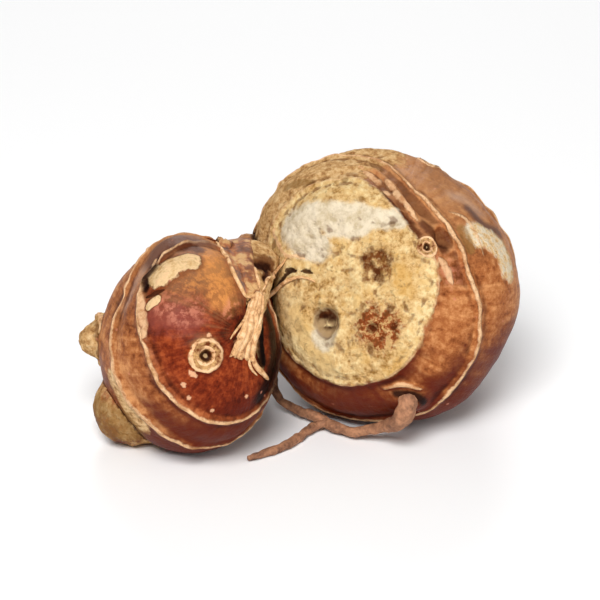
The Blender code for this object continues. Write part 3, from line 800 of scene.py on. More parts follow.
def as_evaluated(made):
    """The mesh that the object's curve or modifiers make."""
    bpy.context.view_layer.update()
    graph = bpy.context.evaluated_depsgraph_get()
    return bpy.data.meshes.new_from_object(made.evaluated_get(graph))


def capped(grid):
    """The grid's rows as one list of values, with its first and last row each as one."""
    middle = grid[1:-1].reshape(-1, *grid.shape[2:])
    return np.concatenate([grid[:1].mean(axis=1), middle, grid[-1:].mean(axis=1)])


def loft(lobe):
    """The carved lobe as a closed mesh object, with its fields on its points."""
    grid, straight, fields = carved(lobe)
    rows, sides = grid.shape[:2]
    vertices = capped(grid)
    last = len(vertices) - 1

    def corner(row, side):
        return 1 + row * sides + side % sides

    faces = []
    for side in range(sides):
        faces.append((0, corner(0, side), corner(0, side + 1)))
        faces.append((last, corner(rows - 3, side + 1), corner(rows - 3, side)))
        for row in range(rows - 3):
            below = (corner(row, side), corner(row + 1, side))
            faces.append((*below, corner(row + 1, side + 1), corner(row, side + 1)))
    mesh = mesh_of(lobe.name, vertices, faces)
    for name, values in fields.items():
        store(mesh, name, capped(values))
    store(mesh, "straight", capped(straight))
    return placed(lobe.name, mesh)


def store(mesh, name, values):
    """Puts one number or vector a point on the mesh."""
    kind, part = ("FLOAT", "value") if values.ndim == 1 else ("FLOAT_VECTOR", "vector")
    attribute = mesh.attributes.new(name, kind, "POINT")
    attribute.data.foreach_set(part, values.astype(np.float32).ravel())


def taken(mesh, name):
    """The field's values, taken off the mesh, or all far away where it has no such field."""
    values = np.full(len(mesh.vertices), FAR)
    if name in mesh.attributes:
        mesh.attributes[name].data.foreach_get("value", values)
        mesh.attributes.remove(mesh.attributes[name])
    return values


def vectors_of(items, name):
    """That vector of each item, as rows."""
    values = np.empty(len(items) * 3, np.float32)
    items.foreach_get(name, values)
    return values.reshape(-1, 3)


def points_of(mesh):
    """The mesh's points as rows, in millimetres."""
    return vectors_of(mesh.vertices, "co") / MM


def outward_of(mesh):
    """The outward direction at each of the mesh's points."""
    return vectors_of(mesh.vertex_normals, "vector")


def move_points(mesh, places):
    """Moves the mesh's points to places in millimetres."""
    mesh.vertices.foreach_set("co", (places * MM).astype(np.float32).ravel())
    mesh.update()


def surface_tree(mesh):
    """The mesh's surface for finding its nearest point, in millimetres."""
    places = [Vector(p) for p in points_of(mesh)]
    return BVHTree.FromPolygons(places, [tuple(f.vertices) for f in mesh.polygons])


def contact_fields(made):
    """Stores on each lobe how far its points are from the next lobe, and more beside a clean one."""
    trees = [surface_tree(lobe.data) for lobe in made]
    for lobe, own in zip(made, LOBES):
        nearest = np.full(len(lobe.data.vertices), FAR)
        places = [Vector(p) for p in points_of(lobe.data)]
        for other, tree, source in zip(made, trees, LOBES):
            if other is lobe:
                continue
            found = [tree.find_nearest(p, FAR)[3] for p in places]
            found = np.array([FAR if gap is None else gap for gap in found])
            nearest = np.minimum(nearest, found + max(source.clean, own.clean))
        store(lobe.data, "contact", nearest)


def fuse(body, others):
    """The body with the others joined to it, which are then removed."""
    group = bpy.data.collections.new("joined_to_" + body.name)
    for other in others:
        group.objects.link(other)
    union = body.modifiers.new("Union", "BOOLEAN")
    union.operation = "UNION"
    union.operand_type = "COLLECTION"
    union.collection = group
    union.solver = "MANIFOLD"
    shape = as_evaluated(body)
    body.modifiers.remove(union)
    body.data = shape
    for other in others:
        bpy.data.objects.remove(other)
    bpy.data.collections.remove(group)
    return body


def skin_body():
    """The fused lobes as one piece that stands for the solid."""
    lobes = [loft(lobe) for lobe in LOBES]
    contact_fields(lobes)
    body = fuse(lobes[0], lobes[1:])
    body.name = "skin"
    places = points_of(body.data) + ORIGIN_SHIFT
    places[:, 2] = np.maximum(places[:, 2], 0.0)
    move_points(body.data, places)
    draw_traces(body.data)
    store_hollows(body.data)
    body.data.shade_smooth()
    return body


def lifted(place, surface, lift):
    """The place, moved out along the skin's normal if it isn't that far above the skin."""
    spot, normal, _, _ = surface.find_nearest(Vector(place))
    above = (Vector(place) - spot).dot(normal)
    return np.array(Vector(place) + normal * max(0.0, lift - above))


def laid(place, surface, lift):
    """The place, moved along the skin's normal to that far above the skin."""
    spot, normal, _, _ = surface.find_nearest(Vector(place))
    return np.array(spot + normal * lift)


def trace_spots(trace, surface):
    """Spots on the skin along the trace, and its radius at each, where a line is thinner at its ends."""
    route = np.array(trace.route) + ORIGIN_SHIFT
    path = smooth_path(route, TRACE_PITCH) if len(route) > 1 else route
    spots = np.array([laid(place, surface, 0.0) for place in path])
    radii = np.full(len(spots), trace.radius)
    if trace.kind in LINES and len(spots) > 1:
        radii *= LINE_END + (1.0 - LINE_END) * np.sin(math.pi * np.linspace(0.0, 1.0, len(spots)))
    return spots, radii


def draw_traces(mesh):
    """Stores how far each point is from each kind of trace, in its radii, and moves the skin there."""
    surface = surface_tree(mesh)
    places = points_of(mesh)
    relief = np.zeros(len(places))
    fields = {kind: taken(mesh, kind) for kind in dict.fromkeys(trace.kind for trace in TRACES)}
    for trace in TRACES:
        spots, radii = trace_spots(trace, surface)
        low = spots.min(axis=0) - FAR * trace.radius
        high = spots.max(axis=0) + FAR * trace.radius
        near = np.flatnonzero(np.all((places > low) & (places < high), axis=1))
        away = np.full(len(near), FAR)
        for spot, radius in zip(spots, radii):
            away = np.minimum(away, np.linalg.norm(places[near] - spot, axis=1) / radius)
        relief[near] += trace.height * bell(away, 0.0, TRACE_SPREAD)
        fields[trace.kind][near] = np.minimum(fields[trace.kind][near], away)
    for kind, values in fields.items():
        store(mesh, kind, values)
    move_points(mesh, places + outward_of(mesh) * relief[:, None])


def store_hollows(mesh):
    """Stores each point's depth in a hollow, below 0 where it stands proud, and how far it faces up."""
    ends = np.empty(len(mesh.edges) * 2, np.int32)
    mesh.edges.foreach_get("vertices", ends)
    a, b = ends.reshape(-1, 2).T
    counts = np.bincount(np.concatenate([a, b]), minlength=len(mesh.vertices))[:, None]
    places = points_of(mesh)
    eased = places.copy()
    for _ in range(HOLLOW_STEPS):
        total = np.zeros_like(eased)
        np.add.at(total, a, eased[b])
        np.add.at(total, b, eased[a])
        eased = total / counts
    normals = outward_of(mesh)
    store(mesh, "hollow", ((eased - places) * normals).sum(axis=1))
    store(mesh, "up", normals[:, 2])


def tube(name, points):
    """A closed tube through points of x, y, z and radius, from a curve object with a bevel."""
    curve = bpy.data.curves.new(name, "CURVE")
    curve.dimensions = "3D"
    curve.bevel_depth = MM
    curve.bevel_resolution = TUBE_RESOLUTION
    curve.use_fill_caps = True
    spline = curve.splines.new("POLY")
    spline.points.add(len(points) - 1)
    for spot, (x, y, z, radius) in zip(spline.points, points):
        spot.co = (x * MM, y * MM, z * MM, 1.0)
        spot.radius = radius
    guide = placed(name + "_guide", curve)
    mesh = as_evaluated(guide)
    bpy.data.objects.remove(guide)
    return mesh


def joined(name, meshes):
    """One mesh object from several meshes, welded."""
    shape = bmesh.new()
    for mesh in meshes:
        shape.from_mesh(mesh)
    bmesh.ops.remove_doubles(shape, verts=shape.verts, dist=WELD_DISTANCE * MM)
    bmesh.ops.recalc_face_normals(shape, faces=shape.faces)
    whole = bpy.data.meshes.new(name)
    shape.to_mesh(whole)
    shape.free()
    whole.shade_smooth()
    return placed(name, whole)


def rootlets():
    """The dry roots, knotty and shrunken into lengthwise pleats."""
    meshes = []
    for name, route, radii in ROOTS:
        route = [(*(np.array(place) + ORIGIN_SHIFT), radius) for place, radius in zip(route, radii)]
        points = smooth_path(route, ROOT_PITCH)
        points[:, 3] *= 1.0 + ROOT_KNOTS * noise_at(points[:, :3], ROOT_KNOT_SIZE, WRINKLE_SEED)
        meshes.append(tube(name, points))
    made = joined("rootlets", meshes)
    places = points_of(made.data)
    relief = ROOT_PLEAT * noise_at(places, ROOT_PLEAT_SIZE, CORK_SEED)
    places += outward_of(made.data) * relief[:, None]
    places[:, 2] = np.maximum(places[:, 2], 0.0)
    move_points(made.data, places)
    return made


def resampled(path, count, share):
    """The path's first part, that share of its length, with that many points."""
    along = path_lengths(path)
    return read_along(np.linspace(0.0, along[-1] * share, count), along, path)


def smoothed(path):
    """The path with its kinks eased."""
    for _ in range(EASING_ROUNDS):
        path[1:-1] = 0.5 * path[1:-1] + 0.25 * (path[:-2] + path[2:])
    return path


def sheet_faces(rows, columns):
    """The faces of a closed sheet: a grid of points in front, the same behind, and the edge between them."""
    count = rows * columns
    faces = []
    for row in range(rows - 1):
        for column in range(columns - 1):
            a = row * columns + column
            quad = (a, a + columns, a + columns + 1, a + 1)
            faces.append(quad)
            faces.append(tuple(count + corner for corner in reversed(quad)))
    grid = np.arange(count).reshape(rows, columns)
    border = np.concatenate([grid[0], grid[1:, -1], grid[-1, -2::-1], grid[-2:0:-1, 0]]).tolist()
    for a, b in zip(border, border[1:] + border[:1]):
        faces.append((a, b, count + b, count + a))
    return faces


def web(sheet, surface):
    """A pleated sheet between two margins, with a torn end, laid on the skin, its back in the flesh."""
    left = smooth_path(sheet.left, HUSK_PITCH) + ORIGIN_SHIFT
    right = smooth_path(sheet.right, HUSK_PITCH) + ORIGIN_SHIFT
    rows = max(len(left), len(right))
    shares = np.linspace(0.0, 1.0, WEB_COLUMNS)
    across = np.column_stack([shares * WEB_TEARS, 0 * shares, 0 * shares])
    kept = 1.0 - WEB_FRAY * np.abs(noise_at(across, 1.0, GRAIN_SEED))
    front = np.empty((rows, WEB_COLUMNS, 3))
    back = np.empty_like(front)
    ridge = np.empty((rows, WEB_COLUMNS))
    for column, share in enumerate(shares):
        edges = [resampled(margin, rows, kept[column]) for margin in (left, right)]
        middle = edges[0] * (1.0 - share) + edges[1] * share
        sway = WEB_SWAY * noise_at(middle, WEB_SWAY_SIZE, CORK_SEED)
        ridge[:, column] = np.abs(np.sin(math.pi * (sheet.pleats * share + sway)))
        lifts = WEB_LIFT + sheet.pleat_lift * ridge[:, column]
        folds = [laid(place, surface, lift) for place, lift in zip(middle, lifts)]
        front[:, column] = smoothed(np.array(folds))
        back[:, column] = [laid(place, surface, -WEB_DEPTH) for place in middle]
    points = np.concatenate([front, back]).reshape(-1, 3)
    mesh = mesh_of(sheet.name, points, sheet_faces(rows, WEB_COLUMNS))
    store(mesh, "ridge", np.concatenate([ridge, 0 * ridge]).ravel())
    # The dusk grows from the left margin to the right, toward the hole: partly colour, partly painted shade
    store(mesh, "dusk_shade", np.tile(sheet.dusk_shade * (1.0 + shares), 2 * rows))
    return mesh


def strand(route, radius, surface):
    """A dry fibre laid on the skin, frayed thin at its ends."""
    path = smooth_path(route, HUSK_PITCH) + ORIGIN_SHIFT
    shares = np.linspace(0.0, 1.0, len(path))
    radii = radius * (STRAND_END + (1.0 - STRAND_END) * np.sin(math.pi * shares) ** 0.5)
    radii *= 1.0 + STRAND_KNOTS * noise_at(path, STRAND_KNOT_SIZE, CORK_SEED)
    path = [lifted(place, surface, STRAND_LIFT * size) for place, size in zip(path, radii)]
    path = smoothed(np.array(path))
    mesh = tube("strand", [(*place, size) for place, size in zip(path, radii)])
    store(mesh, "ridge", np.ones(len(mesh.vertices)))
    return mesh


def husk(body):
    """The dry husk as one piece."""
    surface = surface_tree(body.data)
    meshes = [web(sheet, surface) for sheet in WEBS]
    meshes += [strand(route, radius, surface) for route, radius in STRANDS]
    return joined("husk", meshes)


class Paint:
    """Builds a material. Each method adds nodes and gives their output."""

    def __init__(self, name):
        self.material = bpy.data.materials.new(name)
        self.material.use_nodes = True
        self.tree = self.material.node_tree
        self.place = self.node("TexCoord").outputs["Object"]

    def feed(self, socket, value):
        """Links an output to the socket, or sets its own value."""
        if isinstance(value, bpy.types.NodeSocket):
            self.tree.links.new(value, socket)
        else:
            socket.default_value = value

    def node(self, kind, inputs=None, **settings):
        """A new shader node with its settings and inputs."""
        made = self.tree.nodes.new("ShaderNode" + kind)
        for name, value in settings.items():
            setattr(made, name, value)
        for key, value in (inputs or {}).items():
            self.feed(made.inputs[key], value)
        return made

    def combine(self, operation, total, *values):
        """The values, combined one after the other by that operation."""
        for value in values:
            total = self.node("Math", {0: total, 1: value}, operation=operation).outputs[0]
        return total

    def times(self, *values):
        """The product of the values."""
        return self.combine("MULTIPLY", *values)

    def most(self, *values):
        """The largest of the values."""
        return self.combine("MAXIMUM", *values)

    def weighted(self, *pairs):
        """The sum of outputs, each times its weight."""
        return self.combine("ADD", *[self.times(*pair) for pair in pairs])

    def without(self, share, strength, whole=1.0):
        """The whole, less that much of the share."""
        return self.combine("SUBTRACT", whole, self.times(share, strength))

    def field(self, name):
        """The field of that name, which the mesh carries."""
        return self.node("Attribute", attribute_name=name).outputs["Fac"]

    def noise(self, size, detail=4.0, roughness=0.6, seed=0.0, vector=None):
        """Noise from 0 to 1 with features of that size in millimetres."""
        inputs = {"Vector": vector or self.place, "W": seed, "Detail": detail, "Roughness": roughness}
        inputs["Scale"] = (1.0 if vector else 1.0 / MM) / size
        return self.node("TexNoise", inputs, noise_dimensions="4D").outputs["Fac"]

    def cells(self, size, seed):
        """Distance from scattered points, from 0 to about 1, a cell being that many millimetres wide."""
        inputs = {"Vector": self.place, "W": seed, "Scale": 1.0 / MM / size}
        return self.node("TexVoronoi", inputs, voronoi_dimensions="4D").outputs["Distance"]

    def step(self, value, low, high):
        """0 below low, 1 above high and smooth between. With low above high it falls."""
        inputs = {"Value": value, "From Min": min(low, high), "From Max": max(low, high)}
        inputs["To Min"] = float(low > high)
        inputs["To Max"] = float(low <= high)
        return self.node("MapRange", inputs, interpolation_type="SMOOTHSTEP").outputs["Result"]

    def ragged(self, value, amount, size, seed=0.0):
        """The value with noise of that amount added, so that its edges fray."""
        shifted = self.combine("SUBTRACT", self.noise(size, detail=3.0, seed=seed), 0.5)
        return self.combine("ADD", value, self.times(shifted, 2.0 * amount))

    def zone(self, kind):
        """1 where the field of that kind is whole, 0 past its end, with a frayed edge between."""
        fray, size, outside, inside, seed = ZONES[kind]
        return self.step(self.ragged(self.field(kind), fray, size, seed), outside, inside)

    def cover(self, under, tint, *shares, blend="MIX"):
        """The colour under, with the tint over it where every share lets it show."""
        inputs = {0: self.times(*shares), 6: under, 7: tint}
        return self.node("Mix", inputs, data_type="RGBA", blend_type=blend).outputs[2]

    def ramp(self, value, *stops):
        """A colour for each value, from pairs of a place and a colour."""
        made = self.node("ValToRGB", {"Fac": value})
        elements = made.color_ramp.elements
        for _ in stops[2:]:
            elements.new(0.5)
        for element, (place, colour) in zip(elements, stops):
            element.position = place
            element.color = colour
        return made.outputs["Color"]

    def finished(self, colour, roughness, relief=None, depth=0.0, **settings):
        """The material, with bumps of that depth in millimetres where the relief goes from 0 to 1."""
        surface = self.tree.nodes["Principled BSDF"].inputs
        self.feed(surface["Base Color"], colour)
        self.feed(surface["Roughness"], roughness)
        if relief:
            bump = self.node("Bump", {"Distance": depth * MM, "Height": relief})
            self.feed(surface["Normal"], bump.outputs["Normal"])
        for name, value in settings.items():
            self.feed(surface[name.replace("_", " ")], value)
        return self.material


def paint_colour(red, green, blue):
    """A colour from its screen values of 0 to 255."""
    values = [value / 255 for value in (red, green, blue)]
    return (*[v / 12.92 if v <= 0.04045 else ((v + 0.055) / 1.055) ** 2.4 for v in values], 1.0)


RED_DARK = paint_colour(64, 16, 4)
RED = paint_colour(112, 38, 14)
RED_PALE = paint_colour(160, 72, 34)
# Deep red for skin that faces down: partly the skin's own darker underside, partly painted shade
UNDERSIDE_RED_AND_SHADE = paint_colour(92, 22, 4)
BROWN_DARK = paint_colour(104, 48, 20)
BROWN = paint_colour(162, 96, 52)
BROWN_PALE = paint_colour(202, 140, 88)
# Greyer brown painted on skin that faces up, standing for how the top takes the light
TOP_LIGHT_TONE = paint_colour(166, 120, 80)
PLUM = paint_colour(136, 66, 54)
PLUM_GREY = paint_colour(104, 72, 60)
PINK = paint_colour(204, 130, 104)
# Orange for the painted highlight on the finger
HIGHLIGHT_AMBER = paint_colour(206, 136, 72)
LINE = paint_colour(240, 196, 150)
LINE_DARK = paint_colour(196, 142, 96)
FLECK = paint_colour(232, 180, 138)
CORK_DARK = paint_colour(156, 114, 58)
CORK_TAN = paint_colour(210, 170, 112)
CORK_PALE = paint_colour(236, 210, 156)
CORK_YELLOW = paint_colour(206, 156, 78)
OLIVE = paint_colour(134, 98, 52)
GREY = paint_colour(228, 212, 184)
GREY_DARK = paint_colour(196, 176, 142)
# Dark browns: painted shade in the pit, the torn holes and the husk by the hole, and the dark of cracks and
# eye hollows
HOLE = paint_colour(60, 26, 10)
HOLE_EDGE = paint_colour(104, 58, 28)
STAIN_AND_HOLLOW_SHADE = paint_colour(112, 62, 28)
# A stain brown, also multiplied into the hollows as painted shade
RED_STAIN = paint_colour(148, 72, 34)
TAN = paint_colour(198, 154, 100)
TAN_DARK = paint_colour(136, 88, 46)
TAN_PALE = paint_colour(228, 194, 144)
# Greyish colour for the painted sheen along upper edges, with some dust
DUST_AND_SHEEN = paint_colour(204, 180, 162)
# Near-black multiplied in as painted shade, with some grime, where lobes meet and along the shade marks
SHADE_AND_GRIME_TINT = paint_colour(52, 22, 10)
ROOT_DARK = paint_colour(98, 60, 40)
ROOT_PALE = paint_colour(190, 134, 96)
HUSK_DARK = paint_colour(150, 96, 54)
HUSK = paint_colour(216, 166, 112)
HUSK_PALE = paint_colour(236, 196, 148)
FLOOR = paint_colour(248, 248, 248)
FLOOR_SHADE = paint_colour(244, 244, 244)

# Where each field of stains, marks or lines shows: how much and how finely its edge frays, the value where
# it ends, the value where it is whole, and the seed of the fray
ZONES = {
    "glow": (0.8, 0.8, 1.3, 0.0, 0.0),
    "amber_highlight": (0.8, 0.7, 1.6, 0.2, 0.0),
    "plum": (0.9, 0.9, 1.4, 0.2, 0.0),
    "dusky": (0.4, 0.9, 1.3, 0.2, 0.0),
    "pink": (1.1, 0.8, 1.5, 0.0, 0.0),
    "brown": (0.6, 0.6, 1.2, 0.5, 0.0),
    "sheen": (0.4, 0.9, 1.3, 0.0, 0.0),
    "dark": (0.5, 0.6, 1.3, 0.4, 0.0),
    "scar_edge": (0.8, 1.1, 0.3, -0.3, 6.0),
    "tan": (0.5, 1.8, 0.4, 0.62, 4.0),
    "scuff": (0.5, 0.8, 1.2, 0.75, 5.0),
    "ring_gap": (0.2, 0.7, 0.27, 0.1, 10.0),
    "seam": (0.5, 0.6, 1.1, 0.5, 10.0),
    "bark": (0.5, 0.9, 1.25, 0.75, 0.0),
    "yellow": (0.6, 1.0, 1.2, 0.3, 7.0),
    "pale": (0.5, 0.8, 1.4, 0.5, 7.0),
    "grey": (0.4, 0.9, 1.15, 0.7, 7.0),
    "dent": (1.0, 0.6, 1.3, 0.5, 8.0),
    "spot": (0.8, 0.5, 1.25, 0.7, 9.0),
    "knot": (0.5, 0.6, 1.0, 0.4, 0.0),
    "up": (0.3, 0.6, 0.75, 0.0, 0.0),
    "hole": (0.6, 0.6, 1.5, 0.8, 0.0),
    "crack": (0.7, 0.5, 1.1, 0.7, 0.0),
    "contact": (0.35, 1.0, 0.75, 0.05, 12.0),
    "shade": (0.4, 1.2, 1.5, 0.4, 12.0),
    "fleck": (0.7, 0.25, 1.15, 0.6, 0.0),
    "olive": (0.4, 0.5, 1.2, 0.6, 8.0),
    # The husk's fold field gives painted shade between pleats, and its dusk field painted shade by the hole
    "ridge": (0.25, 0.8, 0.5, 0.05, 0.0),
    "dusk_shade": (0.5, 0.9, 1.1, 1.65, 0.0),
}

# Tints of the waxy skin: kind, colour, strength, and how far the mottle breaks it up
TINTS = (
    # glow and amber: a painted orange highlight on the finger
    ("glow", HIGHLIGHT_AMBER, 0.6, 1.0),
    ("amber_highlight", HIGHLIGHT_AMBER, 0.95, 0.5),
    ("plum", PLUM, 0.75, 0.0),
    ("dusky", PLUM_GREY, 0.95, 0.0),
    # pink: painted highlights on the finger, and a pale pink patch on the main lobe
    ("pink", PINK, 0.6, 1.0),
    ("brown", BROWN_DARK, 0.5, 0.0),
    # sheen: a painted sheen along upper edges, with some dust
    ("sheen", DUST_AND_SHEEN, 0.3, 0.0),
    ("dark", RED_DARK, 0.8, 0.0),
)
STREAK_SCALE = (2.6, 2.6, 0.35)


class Skin(Paint):
    """The rhizome's skin. Its noises break up the colours, and each layer covers the colour it is given."""

    def __init__(self):
        super().__init__("skin")
        straight = self.node("Attribute", attribute_name="straight").outputs["Vector"]
        along = self.node("Mapping", {"Vector": straight, "Scale": STREAK_SCALE}).outputs["Vector"]
        self.streaks = self.noise(1.0, vector=along)
        self.blotches = self.noise(4.5, seed=1.0)
        self.mottle = self.noise(0.7, roughness=0.7, seed=14.0)
        self.speckle = self.noise(0.55, detail=5.0, roughness=0.7, seed=2.0)
        self.coarse = self.noise(1.6, roughness=0.65, seed=3.0)
        self.scar = self.zone("scar_edge")
        self.tan = self.zone("tan")
        self.scuff = self.zone("scuff")
        self.scale_edge = self.ragged(self.field("scale"), 0.35, 0.7, seed=11.0)
        self.scale = self.step(self.scale_edge, 1.0, 0.85)
        self.line = self.leaf_scars()
        line_tone = self.weighted((self.speckle, 0.5), (self.coarse, 0.5))
        self.line_colour = self.ramp(line_tone, (0.42, LINE_DARK), (0.54, LINE))

    def leaf_scars(self):
        """Where leaf scars and seams show as pale lines, worn on the shoot scar and on dusky skin."""
        line = self.zone("ring_gap")
        worn = self.step(self.ragged(self.field("dusky"), 0.4, 0.9), 1.3, 0.6)
        line = self.times(line, self.without(self.scar, 0.7), self.without(worn, 0.8))
        return self.most(line, self.times(self.zone("seam"), 0.75))

    def wax(self):
        """Waxy skin, redder between a tip and its first leaf scar, with a deep red below that is partly the
        skin's own and partly painted shade, and a greyer brown painted on top for how the top takes the
        light.
        """
        up = self.field("up")
        # The up weight paints skin that faces up a little paler, as painted light
        tone = self.weighted((self.blotches, 0.35), (self.streaks, 0.2), (self.mottle, 0.45), (up, 0.02))
        red = self.ramp(tone, (0.41, RED_DARK), (0.5, RED), (0.61, RED_PALE))
        brown = self.ramp(tone, (0.4, BROWN_DARK), (0.5, BROWN), (0.6, BROWN_PALE))
        colour = self.cover(brown, red, self.field("young"))
        facing = self.ragged(up, 0.2, 2.0, seed=15.0)
        # Painted shade: deep red on skin that faces down, partly its own darker underside
        colour = self.cover(colour, UNDERSIDE_RED_AND_SHADE, self.step(facing, 0.1, -0.42), 0.92)
        # Painted light: a greyer brown on skin that faces up
        return self.cover(colour, TOP_LIGHT_TONE, self.step(facing, 0.35, 1.0), 0.6)

    def tints(self, colour):
        """The skin's tints, where the mottle lets the broken ones show."""
        for kind, tint, strength, broken in TINTS:
            shares = [self.zone(kind)]
            if broken:
                mottled = self.times(self.step(self.mottle, 0.44, 0.6), broken)
                shares.append(self.combine("ADD", mottled, 1.0 - broken))
            colour = self.cover(colour, tint, *shares, strength)
        return colour

    def old_skin(self, colour):
        """Thin cork on the old parts, bark with a lengthwise grain, and scuffs."""
        cork = self.ramp(self.speckle, (0.33, TAN_DARK), (0.5, TAN), (0.66, TAN_PALE))
        colour = self.cover(colour, cork, self.tan)
        grain = self.weighted((self.streaks, 0.4), (self.speckle, 0.6))
        bark = self.ramp(grain, (0.4, TAN_DARK), (0.48, TAN), (0.58, TAN_PALE))
        colour = self.cover(colour, bark, self.zone("bark"))
        rubbed = self.ramp(self.speckle, (0.34, TAN), (0.44, TAN_PALE), (0.56, GREY))
        return self.cover(colour, rubbed, self.scuff, 0.95)

    def cork(self):
        """The shoot scar's cork, with yellow and grey parts, a pale part painted as light on its lower-left
        rim, and brown and red stains.
        """
        grain = self.weighted((self.speckle, 0.5), (self.coarse, 0.25), (self.blotches, 0.25))
        cork = self.ramp(grain, (0.4, CORK_DARK), (0.47, CORK_TAN), (0.56, CORK_PALE))
        yellow = self.zone("yellow")
        yellow = self.most(self.times(self.step(self.coarse, 0.5, 0.62), 0.8), yellow)
        cork = self.cover(cork, CORK_YELLOW, yellow, 0.6)
        # Painted light: the pale trace brightens the rim beside the finger
        cork = self.cover(cork, CORK_PALE, self.zone("pale"), 0.35)
        grey = self.zone("grey")
        grey_tone = self.weighted((self.mottle, 0.35), (self.coarse, 0.65))
        cork = self.cover(cork, self.ramp(grey_tone, (0.4, GREY_DARK), (0.54, GREY)), grey)
        islands = self.noise(0.9, detail=3.0, seed=16.0)
        dent = self.zone("dent")
        cork = self.cover(cork, STAIN_AND_HOLLOW_SHADE, dent, self.step(islands, 0.36, 0.56))
        reds = self.ramp(self.mottle, (0.4, STAIN_AND_HOLLOW_SHADE), (0.5, RED_STAIN), (0.58, CORK_TAN))
        spot = self.zone("spot")
        cork = self.cover(cork, reds, spot, self.step(islands, 0.3, 0.42))
        specks = self.step(self.mottle, 0.54, 0.68)
        return self.cover(cork, OLIVE, specks, self.without(grey, 0.5, whole=0.6))

    def scale_scars(self, colour):
        """The pale scars that scales left, each with a dark edge."""
        colour = self.cover(colour, BROWN_DARK, self.step(self.scale_edge, 1.35, 1.0), 0.5)
        tone = self.weighted((self.speckle, 0.6), (self.coarse, 0.4))
        return self.cover(colour, self.ramp(tone, (0.4, TAN), (0.5, TAN_PALE), (0.62, LINE)), self.scale)

    def eyes(self, colour):
        """Root eyes, each with two pale rims, a dark hollow and a pale core, and knots."""
        eye = self.ragged(self.field("eye"), 0.24, 0.9)
        socket = self.ramp(self.speckle, (0.4, BROWN_DARK), (0.6, TAN))
        colour = self.cover(colour, socket, self.step(eye, 1.04, 0.94))
        outer_rim = self.times(self.step(eye, 1.0, 0.94), self.step(eye, 0.74, 0.84))
        outer_rim = self.times(outer_rim, self.step(self.coarse, 0.36, 0.46))
        inner_rim = self.times(self.step(eye, 0.58, 0.54), self.step(eye, 0.38, 0.42))
        inner_rim = self.times(inner_rim, self.step(self.mottle, 0.42, 0.52))
        colour = self.cover(colour, self.line_colour, self.most(outer_rim, inner_rim))
        colour = self.cover(colour, HOLE, self.step(eye, 0.4, 0.26), 0.85)
        colour = self.cover(colour, CORK_PALE, self.step(eye, 0.16, 0.1))
        return self.cover(colour, RED_DARK, self.zone("knot"), 0.3)

    def holes(self, colour):
        """The pit, with painted shade where its wall doesn't face up, the cracks, and the torn holes,
        painted dark as shade.
        """
        pit = self.ragged(self.field("pit"), 0.25, 0.6)
        steep = self.zone("up")
        colour = self.cover(colour, CORK_PALE, self.step(pit, 0.95, 0.7))
        # Painted shade on the pit's walls that don't face up
        colour = self.cover(colour, HOLE_EDGE, self.step(pit, 0.85, 0.6), steep)
        colour = self.cover(colour, HOLE, self.step(pit, 0.6, 0.35), self.times(steep, 0.8))
        # The torn holes are painted dark as shade; the cracks are dark
        colour = self.cover(colour, HOLE_EDGE, self.zone("hole"), 0.9)
        hole = self.step(self.field("hole"), 0.75, 0.35)
        return self.cover(colour, HOLE, self.most(self.zone("crack"), hole), 0.9)

    def painted_shade_and_grime(self, colour):
        """Painted shade with some grime where the lobes meet and along the shade marks, and painted shade in
        the hollows, less of it on the shoot scar.
        """
        contact = self.zone("contact")
        shade = self.zone("shade")
        contact = self.times(contact, self.without(self.scar, 0.9))
        shade = self.times(shade, self.without(self.scar, 0.6))
        # Painted shade, with some grime, where the lobes meet and along the shade marks
        colour = self.cover(colour, SHADE_AND_GRIME_TINT, self.most(contact, shade), 0.95, blend="MULTIPLY")
        hollow = self.step(self.field("hollow"), 0.015, 0.09)
        # Painted shade in the hollows
        return self.cover(colour, STAIN_AND_HOLLOW_SHADE, hollow, 0.6, blend="MULTIPLY")

    def flecks(self, colour):
        """Pale flecks of dry skin, and pink pores."""
        scattered = self.step(self.cells(2.3, seed=13.0), 0.1, 0.06)
        scattered = self.times(scattered, self.step(self.coarse, 0.52, 0.58))
        drawn = self.zone("fleck")
        colour = self.cover(colour, FLECK, self.most(scattered, drawn), 0.8)
        pores = self.step(self.cells(1.1, seed=17.0), 0.2, 0.08)
        pores = self.times(pores, self.step(self.mottle, 0.4, 0.6))
        return self.cover(colour, PINK, pores, self.without(self.scar, 0.7, whole=0.7))


def skin_material():
    """Waxy red-brown skin with pale leaf scars, and cork on the shoot scar and the old parts."""
    paint = Skin()
    colour = paint.old_skin(paint.tints(paint.wax()))
    colour = paint.cover(colour, paint.cork(), paint.scar)
    colour = paint.cover(colour, OLIVE, paint.zone("olive"), 0.65)
    colour = paint.cover(colour, paint.line_colour, paint.line)
    for layer in (paint.scale_scars, paint.eyes, paint.holes, paint.painted_shade_and_grime, paint.flecks):
        colour = layer(colour)
    rough = paint.most(paint.scar, paint.tan, paint.line, paint.scale, paint.scuff)
    roughness = paint.combine("ADD", 0.34, paint.weighted((rough, 0.46), (paint.mottle, 0.16)))
    rubs = paint.times(paint.speckle, paint.combine("ADD", 0.15, rough))
    relief = paint.weighted((rubs, 1.0), (paint.streaks, 0.2), (paint.mottle, 0.3))
    return paint.finished(colour, roughness, relief, 0.3, Specular_IOR_Level=0.16, IOR=1.3)


def root_material():
    """Dry root bark, in darker and paler blotches."""
    paint = Paint("dry_root")
    speckle = paint.noise(0.6, roughness=0.65)
    blotches = paint.noise(2.5, detail=3.0, seed=1.0)
    tone = paint.weighted((speckle, 0.6), (blotches, 0.4))
    return paint.finished(paint.ramp(tone, (0.38, ROOT_DARK), (0.62, ROOT_PALE)), 0.75, speckle, 0.25)


